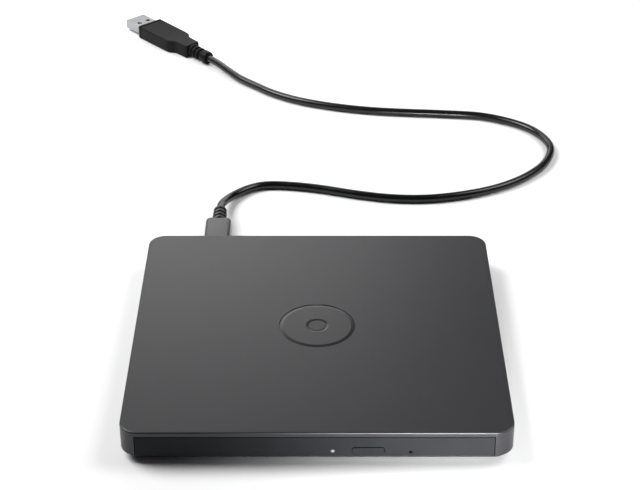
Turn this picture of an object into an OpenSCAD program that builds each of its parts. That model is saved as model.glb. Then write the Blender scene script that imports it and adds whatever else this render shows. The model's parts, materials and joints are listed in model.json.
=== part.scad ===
// External slim optical drive: a two-part case round a drive with a sliding disc tray,
// and a USB cable that is plugged in at the rear.
// Origin: middle of the base, on the surface that the feet rest on.
// +X is right, +Y to the rear, +Z up. The tray slides out towards -Y. Sizes are in millimetres.

/* [Case] */
// Width of the case
case_w = 144; // [136:0.5:180]
// Depth of the case, front to back
case_d = 137.3; // [135:0.1:170]
// Height of the case, feet included
case_h = 14; // [13.6:0.1:18]
// Radius of the case corners in plan
corner_r = 7; // [5:0.5:12]
// Thickness of the top cover and of its side walls
wall = 1.6; // [1.2:0.1:1.9]
// Rounding of the top cover's upper edge
edge_r = 0.6; // [0.3:0.1:1]
// Thickness of the bottom cover's floor
pan_t = 1.2; // [1:0.1:1.3]
// Height and inset of the chamfer round the bottom cover
chamfer = 2.6; // [2.2:0.1:3]
// Height of the rubber feet below the bottom cover
foot_h = 1; // [0.6:0.1:2]
// Radius of a rubber foot
foot_r = 5; // [3:0.5:8]
// Outer radius of the disc pictogram in the top cover
emblem_r = 15; // [8:0.5:25]

/* [Drive] */
// Height of the bare drive inside the case
drive_h = 9.1; // [9:0.1:9.5]
// Thickness of the drive's sheet metal
sheet = 0.5; // [0.4:0.1:0.6]
// Sideways offset of the drive in the case
drive_x = -0.85; // [-1.5:0.05:1.5]
// Room on each side of the drive inside the case width
side_room = 8; // [7.5:0.1:9]
// Radius of the recess for the disc
recess_r = 60.6; // [60.3:0.1:61]
// Radius of the hub that centres the disc
hub_r = 7.4; // [7:0.05:7.5]
// Distance that the tray slides out
tray_travel = 126; // [100:1:126]
// Thickness of the tray's front strip
bezel_t = 2.4; // [2:0.1:3]
// Gap round the tray's front strip
bezel_gap = 0.25; // [0.1:0.05:0.5]

/* [Front controls] */
// Width of the eject button
button_w = 11.6; // [8:0.1:14]
// Height of the eject button
button_h = 2.3; // [1.8:0.1:2.6]
// Middle of the eject button, to the right of the case's middle
button_x = 18.7; // [14:0.1:24]
// Middle of the lamp window
lamp_x = 5.7; // [4:0.1:8]
// Middle of the emergency release hole
pinhole_x = 34.1; // [32:0.1:35]
// Radius of the emergency release hole
pinhole_r = 0.7; // [0.5:0.05:0.8]

/* [Cable] */
// Diameter of the USB cable
cable_d = 3.8; // [3:0.1:4]
// Middle of the USB port, from the case's middle
port_x = -43.7; // [-46:0.1:-40]
// Height of the port's middle above the floor
port_z = 7; // [6.5:0.1:7.5]

/* [Hidden] */
$fn = 64;
eps = 0.01;

// Case, outside and inside faces
half_w = case_w / 2;
half_d = case_d / 2;
z_pan = foot_h;
z_floor = z_pan + pan_t;
z_seam = z_pan + chamfer;
z_ceiling = case_h - wall;
lip_t = 0.7;
lip_gap = 0.1;
lip_out = wall + lip_gap;
z_lip = z_seam + 1.8;
inlay_depth = 0.6;
emblem_hole_r = 3.5;
rim_w = 1.6;
rim_drop = 0.3;
dish_w = 1.1;
dish_drop = 0.2;

// Drive, laid on ribs of the bottom cover
rib_h = 0.3;
drive_w = case_w - 2 * side_room;
drive_left = drive_x - drive_w / 2;
drive_right = drive_x + drive_w / 2;
drive_front = -half_d + bezel_t + 0.35;
drive_back = half_d - 8.45;
z_chassis = z_floor + rib_h;
z_chassis_in = z_chassis + sheet;
z_plate = z_chassis + drive_h - sheet;
window_left = drive_left + 4.85;
window_right = -14;

// Screws between the covers, in the room on each side of the drive
boss_r = 1.8;
screw_r = 0.7;
screw_head_r = 1.5;
screw_head_h = 0.7;
boss_left = (-half_w + lip_out + lip_t + drive_left - sheet) / 2;
boss_right = (half_w - lip_out - lip_t + drive_right + sheet) / 2;
boss_y = 50;
side_screw_y = 40;
z_side_screw = z_chassis + 3;

// Tray, with room for the flat cable under it
flex_room = 0.8;
shield_t = 0.2;
z_shield = z_chassis_in + flex_room;
z_tray = z_shield + shield_t;
z_rim = z_plate - 0.9;
z_disc = z_rim - 1.3;
z_recess = z_disc - 0.5;
deck_t = 1;
z_deck = z_recess - deck_t;
tray_gap = 0.3;
tray_left = drive_left + sheet + tray_gap;
tray_right = drive_right - sheet - tray_gap;
tray_front = -half_d + bezel_t;
tray_back = drive_back - 1.9;
skirt = 2.05;
flange_h = z_recess - 0.5;
pocket_in = 4.15;
notch_x = -6;
disc_x = drive_x;
disc_y = tray_front + 62.25;
mid_y = disc_y + 4;
notch_y = mid_y + 42;
front_wall = 1.3;
z_board = z_tray + 0.3;
board_t = 0.6;
z_parts = z_board + board_t;

// Rails: a guide on the chassis wall, a steel rail and a groove in the tray
rail_h = 2.4;
z_rail = z_tray + 0.3;
rail_in = 1.5;
rail_w = 2.45;
guide_w = 2.05;
rail_gap = 0.2;
rail_front = drive_front + 7.9;
rail_back = rail_front + tray_travel / 2 + 51;
guide_front = drive_front + 5.8;
guide_back = drive_back - 10;

// Mechanism: measured along the laser's path (u) and across it (v) from the disc's middle
mech_turn = 225;
lens_u = 24;
lens_travel = 33;
lens_r = 1.9;
rod_v = 17;
rod_r = 0.75;
z_rod = z_tray + 1.3;
rod_from = 12.5;
rod_to = lens_u + lens_travel + 7.2;
screw_v = 21.5;
z_screw = z_rod;
motor_w = 6;
frame_t = 0.6;
z_frame = z_deck - 0.2 - frame_t;
z_arm = min(z_rod + 1.2, z_frame - 0.1);
run_gap = 0.03;
shaft_r = 1;
rotor_r = 12.5;
table_r = 14.2;
z_hub_top = z_plate - 0.2;
damper_uv = [[-16, -8], [-6, 24], [45, -21]];
foot_x = half_w - 16;
foot_y = half_d - 16;

// Front strip and what sits in it
bezel_left = drive_left - 1.25;
bezel_right = drive_right + 1.25;
z_sill = min(z_seam, z_shield - 0.5);
z_bezel = z_sill + bezel_gap;
z_bezel_top = z_plate + 0.6;
z_button = z_bezel + 2.55;
z_lamp = z_bezel + 2.1;
lamp_r = 0.65;
z_pinhole = z_bezel + 1.65;
button_travel = 0.5;
button_gap = 0.25;
button_out = 0.25;
stem_end = tray_front + 1.7;
switch_y = stem_end + button_travel + 0.2;

// Latch
pin_x = drive_right - 6.65;
pin_y = drive_front + 19.9;
pin_r = 0.9;
pivot_x = pin_x - 4;
pivot_y = pin_y - 8;
pivot_r = 0.7;

// Ejector at the tray's rear
ejector_x = 30;
ejector_y = tray_back - 16.3;
z_ejector = z_tray + 1.75;

// Connector board at the chassis's rear, and the bridge board behind the drive
board_lift = 0.6;
z_sata = z_chassis_in + board_lift + 0.8;
sata_x = window_left + 4;
sata_w = 26;
z_bridge = port_z - 2.1;
bridge_t = 0.8;
bridge_y = drive_back + 2;
bridge_back = half_d - lip_out - lip_t - 0.2;

// Cable: it leaves the strain relief, drops to the floor and runs in one open loop to the large plug
cable_r = cable_d / 2;
cable_points = [
  [-43.7, 106, 6.6], [-43.2, 111, 5.4], [-41.6, 117, 3.8], [-38.2, 123.5, 2.6],
  [-32, 130, 2.1], [-24, 133.5, 2], [-12, 133, 2], [2, 130, 2], [18, 125, 2], [34, 121.5, 2], [50, 121, 2],
  [66, 124, 2], [82, 130, 2], [96, 139.5, 2], [107, 152, 2], [112.5, 165, 2], [112.5, 176, 2],
  [107, 188, 2], [97, 197, 2], [82, 204, 2], [64, 206.5, 2], [46, 208, 2], [28, 210, 2], [10, 214, 2],
  [-8, 220.5, 2], [-22, 229, 2], [-32, 238, 2.1], [-41, 246.5, 2.5], [-47.5, 254.5, 3.1],
  [-53, 262, 3.5], [-58.5, 268.5, 3.6]
];
cable_route = [
  [port_x, half_d + 33.35, port_z],
  for (p = cable_points) p + [port_x + 43.7, half_d - 68.65, 0]
];
plug_turn = 132;
plug_end = cable_route[len(cable_route) - 1];
plug_z = plug_end[2];

// ---------------------------------------------------------------- shapes that repeat

// A box from its low corner to its high corner
module block(lo, hi) translate(lo) cube(hi - lo);

// A flat outline with round corners
module round_rect(w, d, r) {
  square([w - 2 * r, d], center = true);
  square([w, d - 2 * r], center = true);
  for (x = [-1, 1], y = [-1, 1]) translate([x * (w / 2 - r), y * (d / 2 - r)]) circle(r);
}

// A plate with round corners that stands on z
module round_plate(w, d, r, z, h) translate([0, 0, z]) linear_extrude(h) round_rect(w, d, r);

// A slab whose edge follows the profile given as child: round the corners and along the sides
module profiled_slab(w, d, r, z, h) {
  for (x = [-1, 1], y = [-1, 1]) translate([x * (w / 2 - r), y * (d / 2 - r), 0]) rotate_extrude() children();
  for (a = [0, 180]) rotate(a) {
    translate([r - w / 2, d / 2 - r, 0]) rotate([90, 0, 90]) linear_extrude(w - 2 * r) children();
    translate([w / 2 - r, d / 2 - r, 0]) rotate([90, 0, 0]) linear_extrude(d - 2 * r) children();
  }
  block([r - w / 2, r - d / 2, z], [w / 2 - r, d / 2 - r, z + h]);
}

// A shaft along +Y or +X from a point
module shaft_y(p, r, l) translate(p) rotate([-90, 0, 0]) cylinder(r = r, h = l);
module shaft_x(p, r, l) translate(p) rotate([0, 90, 0]) cylinder(r = r, h = l);
module post(p, r, h) translate(p) cylinder(r = r, h = h);

// The mechanism's own frame: +X is the laser's path, the origin is the disc's middle
module mech() translate([disc_x, disc_y, 0]) rotate(mech_turn) children();

// A pan-head screw that points up, its head's underside at z
module screw_up(p, r, head_r, head_h, l) translate(p) {
  translate([0, 0, -head_h]) cylinder(r = head_r, h = head_h);
  cylinder(r = r, h = l);
}

// A copy on each side of the drive's middle plane
module both_sides() {
  children();
  translate([2 * drive_x, 0, 0]) mirror([1, 0, 0]) children();
}

// Points on a smooth curve through a route, and a closed tube swept along them
function spline(a, b, c, d, t) =
  0.5 * (2 * b + (c - a) * t + (2 * a - 5 * b + 4 * c - d) * t * t + (3 * b - a - 3 * c + d) * t * t * t);
function smooth(p, steps) = let (n = len(p)) [
  for (i = [0 : n - 2], s = [0 : steps - 1])
    spline(p[max(i - 1, 0)], p[i], p[i + 1], p[min(i + 2, n - 1)], s / steps),
  p[n - 1]
];
function unit(v) = v / norm(v);
function side_of(t) = unit(cross(t, [0, 0, 1]));
function heading(p, i) = unit(p[min(i + 1, len(p) - 1)] - p[max(i - 1, 0)]);
function ring(c, t, r, sides) = let (s = side_of(t), u = cross(s, t)) [
  for (k = [0 : sides - 1]) c + r * (cos(360 * k / sides) * s + sin(360 * k / sides) * u)
];
module tube(path, headings, r, sides) {
  n = len(path);
  points = [for (i = [0 : n - 1]) each ring(path[i], headings[i], r, sides)];
  sleeve = [
    for (i = [0 : n - 2], k = [0 : sides - 1]) let (a = i * sides, k2 = (k + 1) % sides)
      each [[a + k, a + k2, a + sides + k2], [a + k, a + sides + k2, a + sides + k]]
  ];
  first = [for (k = [sides - 1 : -1 : 0]) k];
  last = [for (k = [0 : sides - 1]) (n - 1) * sides + k];
  polyhedron(points = points, faces = concat(sleeve, [first, last]));
}

// ---------------------------------------------------------------- case

module top_profile() polygon([
  [0, z_seam], [corner_r, z_seam], [corner_r, case_h - edge_r],
  for (a = [15 : 15 : 75]) [corner_r - edge_r + edge_r * cos(a), case_h - edge_r + edge_r * sin(a)],
  [corner_r - edge_r, case_h], [0, case_h]
]);

// A disc pictogram: a flat ring round a small middle
module emblem(h) difference() {
  post([0, 0, case_h - inlay_depth], emblem_r, h);
  post([0, 0, case_h - 1], emblem_hole_r, 3);
}

module top_cover() color("#47484c") {
  difference() {
    profiled_slab(case_w, case_d, corner_r, z_seam, case_h - z_seam) top_profile();
    round_plate(case_w - 2 * wall, case_d - 2 * wall, corner_r - wall, z_seam - 1, z_ceiling - z_seam + 1);
    block([bezel_left - bezel_gap, -half_d - 1, z_seam - 1],
      [bezel_right + bezel_gap, -half_d + wall + 1, z_bezel_top + bezel_gap]);
    block([port_x - 4.1, half_d - wall - 1, port_z - 1.65], [port_x + 4.1, half_d + 1, port_z + 1.65]);
    emblem(1);
  }
  for (x = [boss_left, boss_right], y = [-boss_y, boss_y]) difference() {
    post([x, y, z_floor], boss_r, z_ceiling - z_floor + eps);
    post([x, y, z_floor - 1], screw_r, z_ceiling - z_floor - 1);
  }
}

// The inlay falls away to its rim in one shallow slope, and to its hole in another
module emblem_inlay() color("#8e9094") difference() {
  union() {
    post([0, 0, case_h - inlay_depth], emblem_r, inlay_depth - rim_drop);
    translate([0, 0, case_h - rim_drop]) cylinder(r1 = emblem_r, r2 = emblem_r - rim_w, h = rim_drop);
  }
  post([0, 0, case_h - 1], emblem_hole_r, 3);
  translate([0, 0, case_h - dish_drop])
    cylinder(r1 = emblem_hole_r, r2 = emblem_hole_r + 2 * dish_w, h = 2 * dish_drop);
}

module pan_profile() polygon([[0, z_pan], [corner_r - chamfer, z_pan], [corner_r, z_seam], [0, z_seam]]);

module bottom_cover() color("#232427") difference() {
  union() {
    difference() {
      union() {
        profiled_slab(case_w, case_d, corner_r, z_pan, chamfer) pan_profile();
        round_plate(case_w - 2 * lip_out, case_d - 2 * lip_out, corner_r - lip_out, z_seam, z_lip - z_seam);
      }
      round_plate(case_w - 2 * lip_out - 2 * lip_t, case_d - 2 * lip_out - 2 * lip_t,
        corner_r - lip_out - lip_t, z_floor, z_lip);
      block([bezel_left - bezel_gap, -half_d - 1, z_sill], [bezel_right + bezel_gap, -half_d + 3, z_lip + 1]);
      block([port_x - 6, half_d - 3, z_seam], [port_x + 6, half_d + 1, z_lip + 1]);
      for (x = [boss_left, boss_right], y = [-boss_y, boss_y]) post([x, y, z_floor], boss_r + 0.2, z_lip);
    }
    for (y = [-54, -18, 18, 54])
      block([drive_left + 8, y - 0.6, z_floor - eps], [drive_right - 8, y + 0.6, z_chassis]);
    for (x = [window_left + 2, notch_x])
      post([x, half_d - 4.4, z_floor - eps], 1.6, z_bridge - z_floor + eps);
  }
  for (x = [boss_left, boss_right], y = [-boss_y, boss_y]) {
    post([x, y, z_pan - 1], screw_r, pan_t + 2);
    post([x, y, z_pan - 1], screw_head_r + 0.2, screw_head_h + 1);
  }
  for (x = [-foot_x, foot_x], y = [-foot_y, foot_y]) post([x, y, z_pan - 1], foot_r + 0.1, 1.2);
}

module rubber_feet() color("#161617") for (x = [-foot_x, foot_x], y = [-foot_y, foot_y]) {
  post([x, y, 0.3], foot_r, z_pan + 0.2 - 0.3);
  translate([x, y, 0]) cylinder(r1 = foot_r - 0.3, r2 = foot_r, h = 0.3);
}

module case_screws() color("#3c3d40") for (x = [boss_left, boss_right], y = [-boss_y, boss_y])
  screw_up([x, y, z_pan + screw_head_h], screw_r, screw_head_r, screw_head_h - 0.1, 6);

module rating_label() color("#c9cacb") block([-30, 6, z_pan - 0.1], [30, 36, z_pan]);

module foam_pads() color("#2b2b2d") for (x = [-1, 1])
  block([drive_x + x * 45 - 5, -40, z_plate + sheet], [drive_x + x * 45 + 5, 36, z_ceiling]);

// ---------------------------------------------------------------- drive shell and rear electronics

module drive_chassis() color("#a9abad") {
  difference() {
    block([drive_left, drive_front, z_chassis], [drive_right, drive_back, z_plate]);
    block([drive_left + sheet, drive_front - 1, z_chassis_in],
      [drive_right - sheet, drive_back - sheet, z_plate + 1]);
    block([window_left, drive_back - 1, z_chassis_in], [window_right, drive_back + 1, z_plate + 1]);
    post([pin_x, pin_y, z_chassis - 1], 0.6, 2);
    for (y = [-side_screw_y, side_screw_y]) shaft_x([drive_left - 1, y, z_side_screw], 0.6, drive_w + 2);
  }
  for (x = [window_left + 2, notch_x - 4])
    post([x, drive_back - 8, z_chassis_in - eps], 1.2, board_lift + eps);
}

module drive_top_plate() color("#b4b6b8") difference() {
  block([drive_left - sheet, drive_front, z_side_screw - 1.8],
    [drive_right + sheet, drive_back, z_plate + sheet]);
  block([drive_left, drive_front - 1, z_chassis], [drive_right, drive_back + 1, z_plate]);
  for (y = [-side_screw_y, side_screw_y]) shaft_x([drive_left - 2, y, z_side_screw], 0.6, drive_w + 4);
}

module side_screws() color("#6e7073") both_sides() for (y = [-side_screw_y, side_screw_y]) {
  shaft_x([drive_left - sheet - 0.4, y, z_side_screw], 1.1, 0.4);
  shaft_x([drive_left - sheet, y, z_side_screw], 0.6, sheet + sheet + 0.6);
}

module rail_guide() difference() {
  block([drive_left + sheet, guide_front, z_rail - 0.9],
    [drive_left + sheet + guide_w, guide_back, z_rail + rail_h + 0.9]);
  block([drive_left + rail_in - rail_gap, guide_front - 1, z_rail - rail_gap],
    [drive_left + 5, guide_back + 1, z_rail + rail_h + rail_gap]);
  for (y = [-side_screw_y, side_screw_y]) shaft_x([drive_left, y, z_side_screw], 0.6, 2);
}
module left_rail_guide() color("#303236") rail_guide();
module right_rail_guide() color("#303236") translate([2 * drive_x, 0, 0]) mirror([1, 0, 0]) rail_guide();

module latch_pin() color("#d0d2d4") {
  post([pin_x, pin_y, z_chassis_in], pin_r, 3);
  post([pin_x, pin_y, z_chassis], 0.6, sheet);
}

module rear_board() color("#1f5a36")
  block([window_left - 0.5, drive_back - 14.3, z_chassis_in + board_lift],
    [notch_x - 2, drive_back - 4.2, z_sata]);

module sata_plug() color("#26282b") {
  block([sata_x, drive_back - 11.3, z_sata], [sata_x + sata_w, drive_back - 6, z_sata + 3]);
  block([sata_x + 2, drive_back - 6 - eps, z_sata + 1.2],
    [sata_x + sata_w - 2, drive_back - 2, z_sata + 2.2]);
  block([-26, drive_back - 14, z_sata], [-10, drive_back - 10, z_sata + 1.2]);
}

module sata_receptacle() color("#3a3c40") difference() {
  block([sata_x - 1, drive_back - 5.8, z_sata + 0.2], [sata_x + sata_w + 1, bridge_y, z_sata + 3.2]);
  block([sata_x + 1.8, drive_back - 7, z_sata + 1.1],
    [sata_x + sata_w - 1.8, drive_back - 1.5, z_sata + 2.3]);
}

module bridge_board() color("#1f5a36") {
  block([window_left - 2, bridge_y, z_bridge], [notch_x + 4, bridge_back, z_bridge + bridge_t]);
}

module bridge_parts() color("#1b1c1e") {
  z = z_bridge + bridge_t;
  block([-20, bridge_y + 0.5, z], [-15.8, bridge_y + 4.2, z + 0.9]);
  block([-30, bridge_y + 1, z], [-26.8, bridge_y + 3.5, z + 0.8]);
  for (x = [-13, -10.6, -8.2]) block([x, bridge_y + 1, z], [x + 1.6, bridge_y + 2.2, z + 0.7]);
}

module usb_receptacle() color("#b9bbbd") {
  difference() {
    block([port_x - 3.9, bridge_y + 0.3, port_z - 1.3], [port_x + 3.9, half_d - 0.2, port_z + 1.3]);
    block([port_x - 3.65, bridge_y + 0.6, port_z - 1.1], [port_x + 3.65, half_d + 1, port_z + 1.1]);
  }
  block([port_x - 2.6, bridge_y + 0.5, port_z - 0.3], [port_x + 2.6, half_d - 1, port_z + 0.3]);
}

// A flat cable on the chassis floor, turned up at its tray end
flex_t = 0.12;
flex_x = 26;
flex_w = 16;
flex_y = mid_y + 30;
flex_end = mid_y - 18;
z_flex = z_chassis_in;
module flex_cable() color("#c98a3a") {
  block([-26, flex_y, z_flex], [-10, drive_back - 12, z_flex + flex_t]);
  block([-26, flex_y, z_flex], [flex_x + flex_w, flex_y + 9, z_flex + flex_t]);
  block([flex_x, flex_end, z_flex], [flex_x + flex_w, flex_y + 9, z_flex + flex_t]);
}

// ---------------------------------------------------------------- USB cable and plugs

module usb_cable() color("#1d1e20") {
  path = smooth(cable_route, 2);
  n = len(path);
  headings = [
    for (i = [0 : n - 1])
      i == 0 ? [0, 1, 0] : i == n - 1 ? [cos(plug_turn), sin(plug_turn), 0] : heading(path, i)
  ];
  tube(path, headings, cable_r, 8);
}

// Local frame of the small plug: +Y away from the case, the origin in the port's mouth
grip_w = 11.2;
grip_h = 8;
grip_from = 0.35;
grip_l = 21;
relief_l = 12;
module micro_plug_moulding() color("#5b5c5f") translate([port_x, half_d + grip_from, port_z]) {
  intersection() {
    rotate([-90, 0, 0]) linear_extrude(grip_l) round_rect(grip_w, grip_h, 1.5);
    translate([0, grip_l / 2, -grip_h]) linear_extrude(2 * grip_h) union() {
      round_rect(grip_w, grip_l, 2.4);
      translate([0, -grip_l / 4]) square([grip_w, grip_l / 2], center = true);
    }
  }
  shaft_y([0, grip_l - eps, 0], 2.6, relief_l + eps);
  for (i = [0 : 3]) shaft_y([0, grip_l + 0.8 + 3 * i, 0], 3.4 - 0.12 * i, i == 3 ? 2.2 : 1.7);
}

module micro_plug_shell() color("#c9cbcd") translate([port_x, half_d + grip_from, port_z]) difference() {
  block([-3.4, -5.2, -0.95], [3.4, 0, 0.95]);
  block([-3.1, -6, -0.65], [3.1, -0.5, 0.65]);
}

// Local frame of the large plug: +X towards its tip, the origin where the cable goes in
module large_plug() translate([plug_end[0], plug_end[1], plug_z]) rotate(plug_turn) children();
big_relief_l = 14;
big_neck_l = 9.5;
big_grip_l = 29;
big_w = 15.4;
big_neck_w = 9.4;
big_h = 2 * plug_z;
shell_w = 12;
shell_h = 4.5;
shell_l = 13.5;
shell_t = 0.3;
shell_from = big_relief_l + big_neck_l + big_grip_l;
module usb_a_moulding() color("#2c2d30") large_plug() {
  translate([0, 0, -big_h / 2]) linear_extrude(big_h) polygon([
    [big_relief_l, -big_neck_w / 2 + 1], [big_relief_l + 1, -big_neck_w / 2],
    [big_relief_l + big_neck_l, -big_neck_w / 2 - 0.4], [big_relief_l + big_neck_l + 4, -big_w / 2 + 0.4],
    [shell_from, -big_w / 2], [shell_from, big_w / 2], [big_relief_l + big_neck_l + 4, big_w / 2 - 0.4],
    [big_relief_l + big_neck_l, big_neck_w / 2 + 0.4], [big_relief_l + 1, big_neck_w / 2],
    [big_relief_l, big_neck_w / 2 - 1]
  ]);
  shaft_x([0, 0, 0], 2.5, big_relief_l + eps);
  shaft_x([0, 0, 0], 3.4, 5);
  for (i = [0 : 2]) shaft_x([6.4 + 3 * i, 0, 0], 3.4, 1.8);
}

module usb_a_shell() color("#cfd1d3") large_plug() difference() {
  block([shell_from, -shell_w / 2, -shell_h / 2], [shell_from + shell_l, shell_w / 2, shell_h / 2]);
  block([shell_from + 0.5, shell_t - shell_w / 2, shell_t - shell_h / 2],
    [shell_from + shell_l + 1, shell_w / 2 - shell_t, shell_h / 2 - shell_t]);
  for (y = [-1, 1])
    block([shell_from + 4.2, y * 2.9 - 1.15, -shell_h], [shell_from + 6.6, y * 2.9 + 1.15, shell_h]);
}

module usb_a_tongue() color("#e6e7e8") large_plug()
  block([shell_from + 0.5, -shell_w / 2 + shell_t, -shell_h / 2 + shell_t],
    [shell_from + shell_l - 0.6, shell_w / 2 - shell_t, -0.2]);

// ---------------------------------------------------------------- tray

module tray_screw_points() for (p = [
  [tray_left + 12, mid_y + 30], [45, tray_back - 8.3], [51, mid_y + 20], [tray_left + 8.1, tray_front + 6],
  [notch_x, tray_front + 5.3]
]) translate(p) children();

module tray() color("#2a2b2e") difference() {
  union() {
    difference() {
      union() {
        block([tray_left, tray_front, flange_h], [tray_right, tray_back, z_rim]);
        block([tray_left + skirt, tray_front, z_tray], [tray_right - skirt, tray_back, z_rim - 1]);
      }
      block([tray_left + pocket_in, tray_front + front_wall, z_tray - 1],
        [tray_right - pocket_in, tray_back - 1.3, z_deck]);
    }
    translate([0, 0, z_tray]) linear_extrude(z_deck - z_tray + eps) tray_screw_points() circle(2);
    block([notch_x - 1.2, notch_y - 1.2, z_tray], [notch_x + 1.2, tray_back, z_deck + eps]);
    block([tray_left + skirt, notch_y - 1.2, z_tray], [notch_x, notch_y + eps, z_deck + eps]);
    post([pivot_x, pivot_y, z_tray + 1], pivot_r, z_deck - z_tray - 1 + eps);
    for (p = [[8, -55], [50, 8], [34, 10]])
      post([p[0], mid_y + p[1], z_parts], 1.2, z_deck - z_parts + eps);
    block([ejector_x - 2.6, ejector_y - 14, z_tray], [ejector_x + 2.6, tray_back, z_deck + eps]);
  }
  translate([disc_x, disc_y, z_recess]) cylinder(r = recess_r, h = 5);
  post([disc_x, disc_y, z_deck - 1], 16, 5);
  mech() block([0, -9.5, z_deck - 1], [67, 9.5, z_rim + 1]);
  mech() for (p = damper_uv) post([p[0], p[1], z_deck - 1], 0.5, 1.6);
  block([tray_left - 1, notch_y, z_tray - 1], [notch_x, tray_back + 1, z_rim + 1]);
  both_sides() block([drive_left, tray_front + 3, z_rail - rail_gap],
    [drive_left + rail_in + rail_w + rail_gap, tray_back + 1, z_rail + rail_h + rail_gap]);
  block([pin_x - pin_r - 0.6, tray_back - 2, z_tray - 1],
    [pin_x + pin_r + 0.6, tray_back + 1, z_chassis_in + 3.4]);
  block([button_x - 7.3, tray_front - 1, z_tray + 0.4], [button_x + 7.3, tray_front + 2, z_deck]);
  shaft_y([lamp_x, tray_front - 1, z_lamp], 0.85, 3);
  block([pinhole_x - 1.4, tray_front - 1, z_pinhole - 0.9],
    [pinhole_x + 1.4, tray_front + 3, z_pinhole + 0.9]);
  for (x = [-40, 50]) block([x - 2.1, tray_front - 1, z_tray + 0.9], [x + 2.1, tray_front + 2, z_tray + 3.1]);
  shaft_y([ejector_x, ejector_y - 12, z_ejector], 1.45, 26.5);
  shaft_y([ejector_x, ejector_y + 8, z_ejector], 0.85, 20);
  translate([0, 0, z_tray - 1]) linear_extrude(3.4) tray_screw_points() circle(0.5);
}

module tray_bezel() color("#3f4043") {
  difference() {
    block([bezel_left, -half_d, z_bezel], [bezel_right, tray_front, z_bezel_top]);
    translate([button_x, tray_front - bezel_t - 1, z_button]) rotate([-90, 0, 0]) linear_extrude(bezel_t + 2)
      round_rect(button_w + 2 * button_gap, button_h + 2 * button_gap, 1);
    block([button_x - 7.3, tray_front - 1, z_button - 1.9], [button_x + 7.3, tray_front + 1, z_button + 1.9]);
    shaft_y([lamp_x, -half_d - 1, z_lamp], lamp_r, bezel_t + 2);
    shaft_y([pinhole_x, -half_d - 1, z_pinhole], pinhole_r, bezel_t + 2);
  }
  for (x = [-40, 50]) {
    block([x - 1.9, tray_front - eps, z_tray + 1.1], [x + 1.9, tray_front + 2, z_tray + 1.9]);
  }
}

module tray_shield() color("#9fa1a3") difference() {
  block([tray_left + skirt, tray_front + 0.2, z_shield], [pin_x - 2.1, tray_back - 1.5, z_tray]);
  block([tray_left, notch_y - 1.3, z_shield - 1], [notch_x + 1.3, tray_back, z_tray + 1]);
  translate([0, 0, z_shield - 1]) linear_extrude(3) tray_screw_points() circle(0.5);
}

module tray_screws() color("#6e7073") tray_screw_points() {
  post([0, 0, z_shield - 0.35], 1.1, 0.35);
  post([0, 0, z_shield], 0.5, 2.3);
}

module tray_board() color("#1f5a36") difference() {
  translate([0, 0, z_board]) linear_extrude(board_t) polygon([
    [4, tray_front + front_wall + 0.8], [tray_right - 8.2, tray_front + front_wall + 0.8],
    [tray_right - 8.2, mid_y + 14], [31, mid_y + 14], [31, mid_y - 5], [25, mid_y - 20], [4, mid_y - 41]
  ]);
  block([pinhole_x - 2, tray_front, z_board - 1], [pinhole_x + 2, tray_front + 12.2, z_board + 2]);
}

module tray_board_parts() color("#1b1c1e") {
  block([34, mid_y - 36, z_parts], [44, mid_y - 26, z_parts + 1]);
  block([22, mid_y - 44, z_parts], [28, mid_y - 38, z_parts + 0.9]);
  block([flex_x, mid_y - 17, z_parts], [flex_x + flex_w, mid_y - 13, z_parts + 1.2]);
  for (x = [34, 38, 42]) block([x, mid_y - 20, z_parts], [x + 1.6, mid_y - 19.2, z_parts + 0.7]);
  block([lamp_x - 1.5, tray_front + 2.4, z_parts], [lamp_x + 1.5, tray_front + 4.4, z_lamp + 1]);
}

module tact_switch() color("#b9bbbd")
  block([button_x - 3, switch_y, z_parts], [button_x + 3, switch_y + 3.6, z_deck - 0.1]);

module light_pipe() color("#dfe3e6") shaft_y([lamp_x, -half_d, z_lamp], lamp_r, bezel_t + 2.25);

module traverse_frame() color("#8f9294") mech() {
  difference() {
    translate([0, 0, z_frame]) linear_extrude(frame_t) polygon([
      [-20, -17], [0, -24], [57, -24], [67.5, -13], [67.5, 14], [55, 27.5], [0, 27.5], [-20, 20]
    ]);
    post([0, 0, z_frame - 1], table_r - 0.2, 3);
    block([10, -9, z_frame - 1], [66, 9, z_frame + 2]);
    block([4.5, screw_v - motor_w / 2, z_frame - 1], [19, screw_v + motor_w / 2, z_frame + 2]);
    for (p = damper_uv) post([p[0], p[1], z_frame - 1], 1.5, 3);
  }
  for (v = [-rod_v, rod_v], u = [rod_from, rod_to - 1.8]) difference() {
    block([u, v - 1.5, z_rod - 1], [u + 1.6, v + 1.5, z_frame + eps]);
    shaft_x([u - 1, v, z_rod], rod_r, 4);
  }
  difference() {
    block([60.4, screw_v - 1.5, z_screw - 1.2], [61.6, screw_v + 1.5, z_frame + eps]);
    shaft_x([60, screw_v, z_screw], 0.55, 3);
  }
}

module dampers() color("#3b2f2c") mech() for (p = damper_uv) difference() {
  union() {
    post([p[0], p[1], z_frame], 1.5, z_deck - z_frame);
    post([p[0], p[1], z_frame - 0.4], 2.3, 0.4);
  }
  post([p[0], p[1], z_frame - 1], 0.5, 4);
}

module damper_screws() color("#d0d2d4") mech() for (p = damper_uv)
  screw_up([p[0], p[1], z_frame - 0.4], 0.5, 1.2, 0.4, z_deck + 0.5 - z_frame + 0.4);

module guide_rods() color("#d9dbdc") mech() for (v = [-rod_v, rod_v])
  shaft_x([rod_from, v, z_rod], rod_r, rod_to - rod_from - 0.2);

module feed_motor() color("#9b9da0") mech() difference() {
  block([5, screw_v - motor_w / 2, z_tray + 0.3], [18.5, screw_v + motor_w / 2, z_deck - 0.1]);
  shaft_x([15.5, screw_v, z_screw], 0.55, 4);
}

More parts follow.
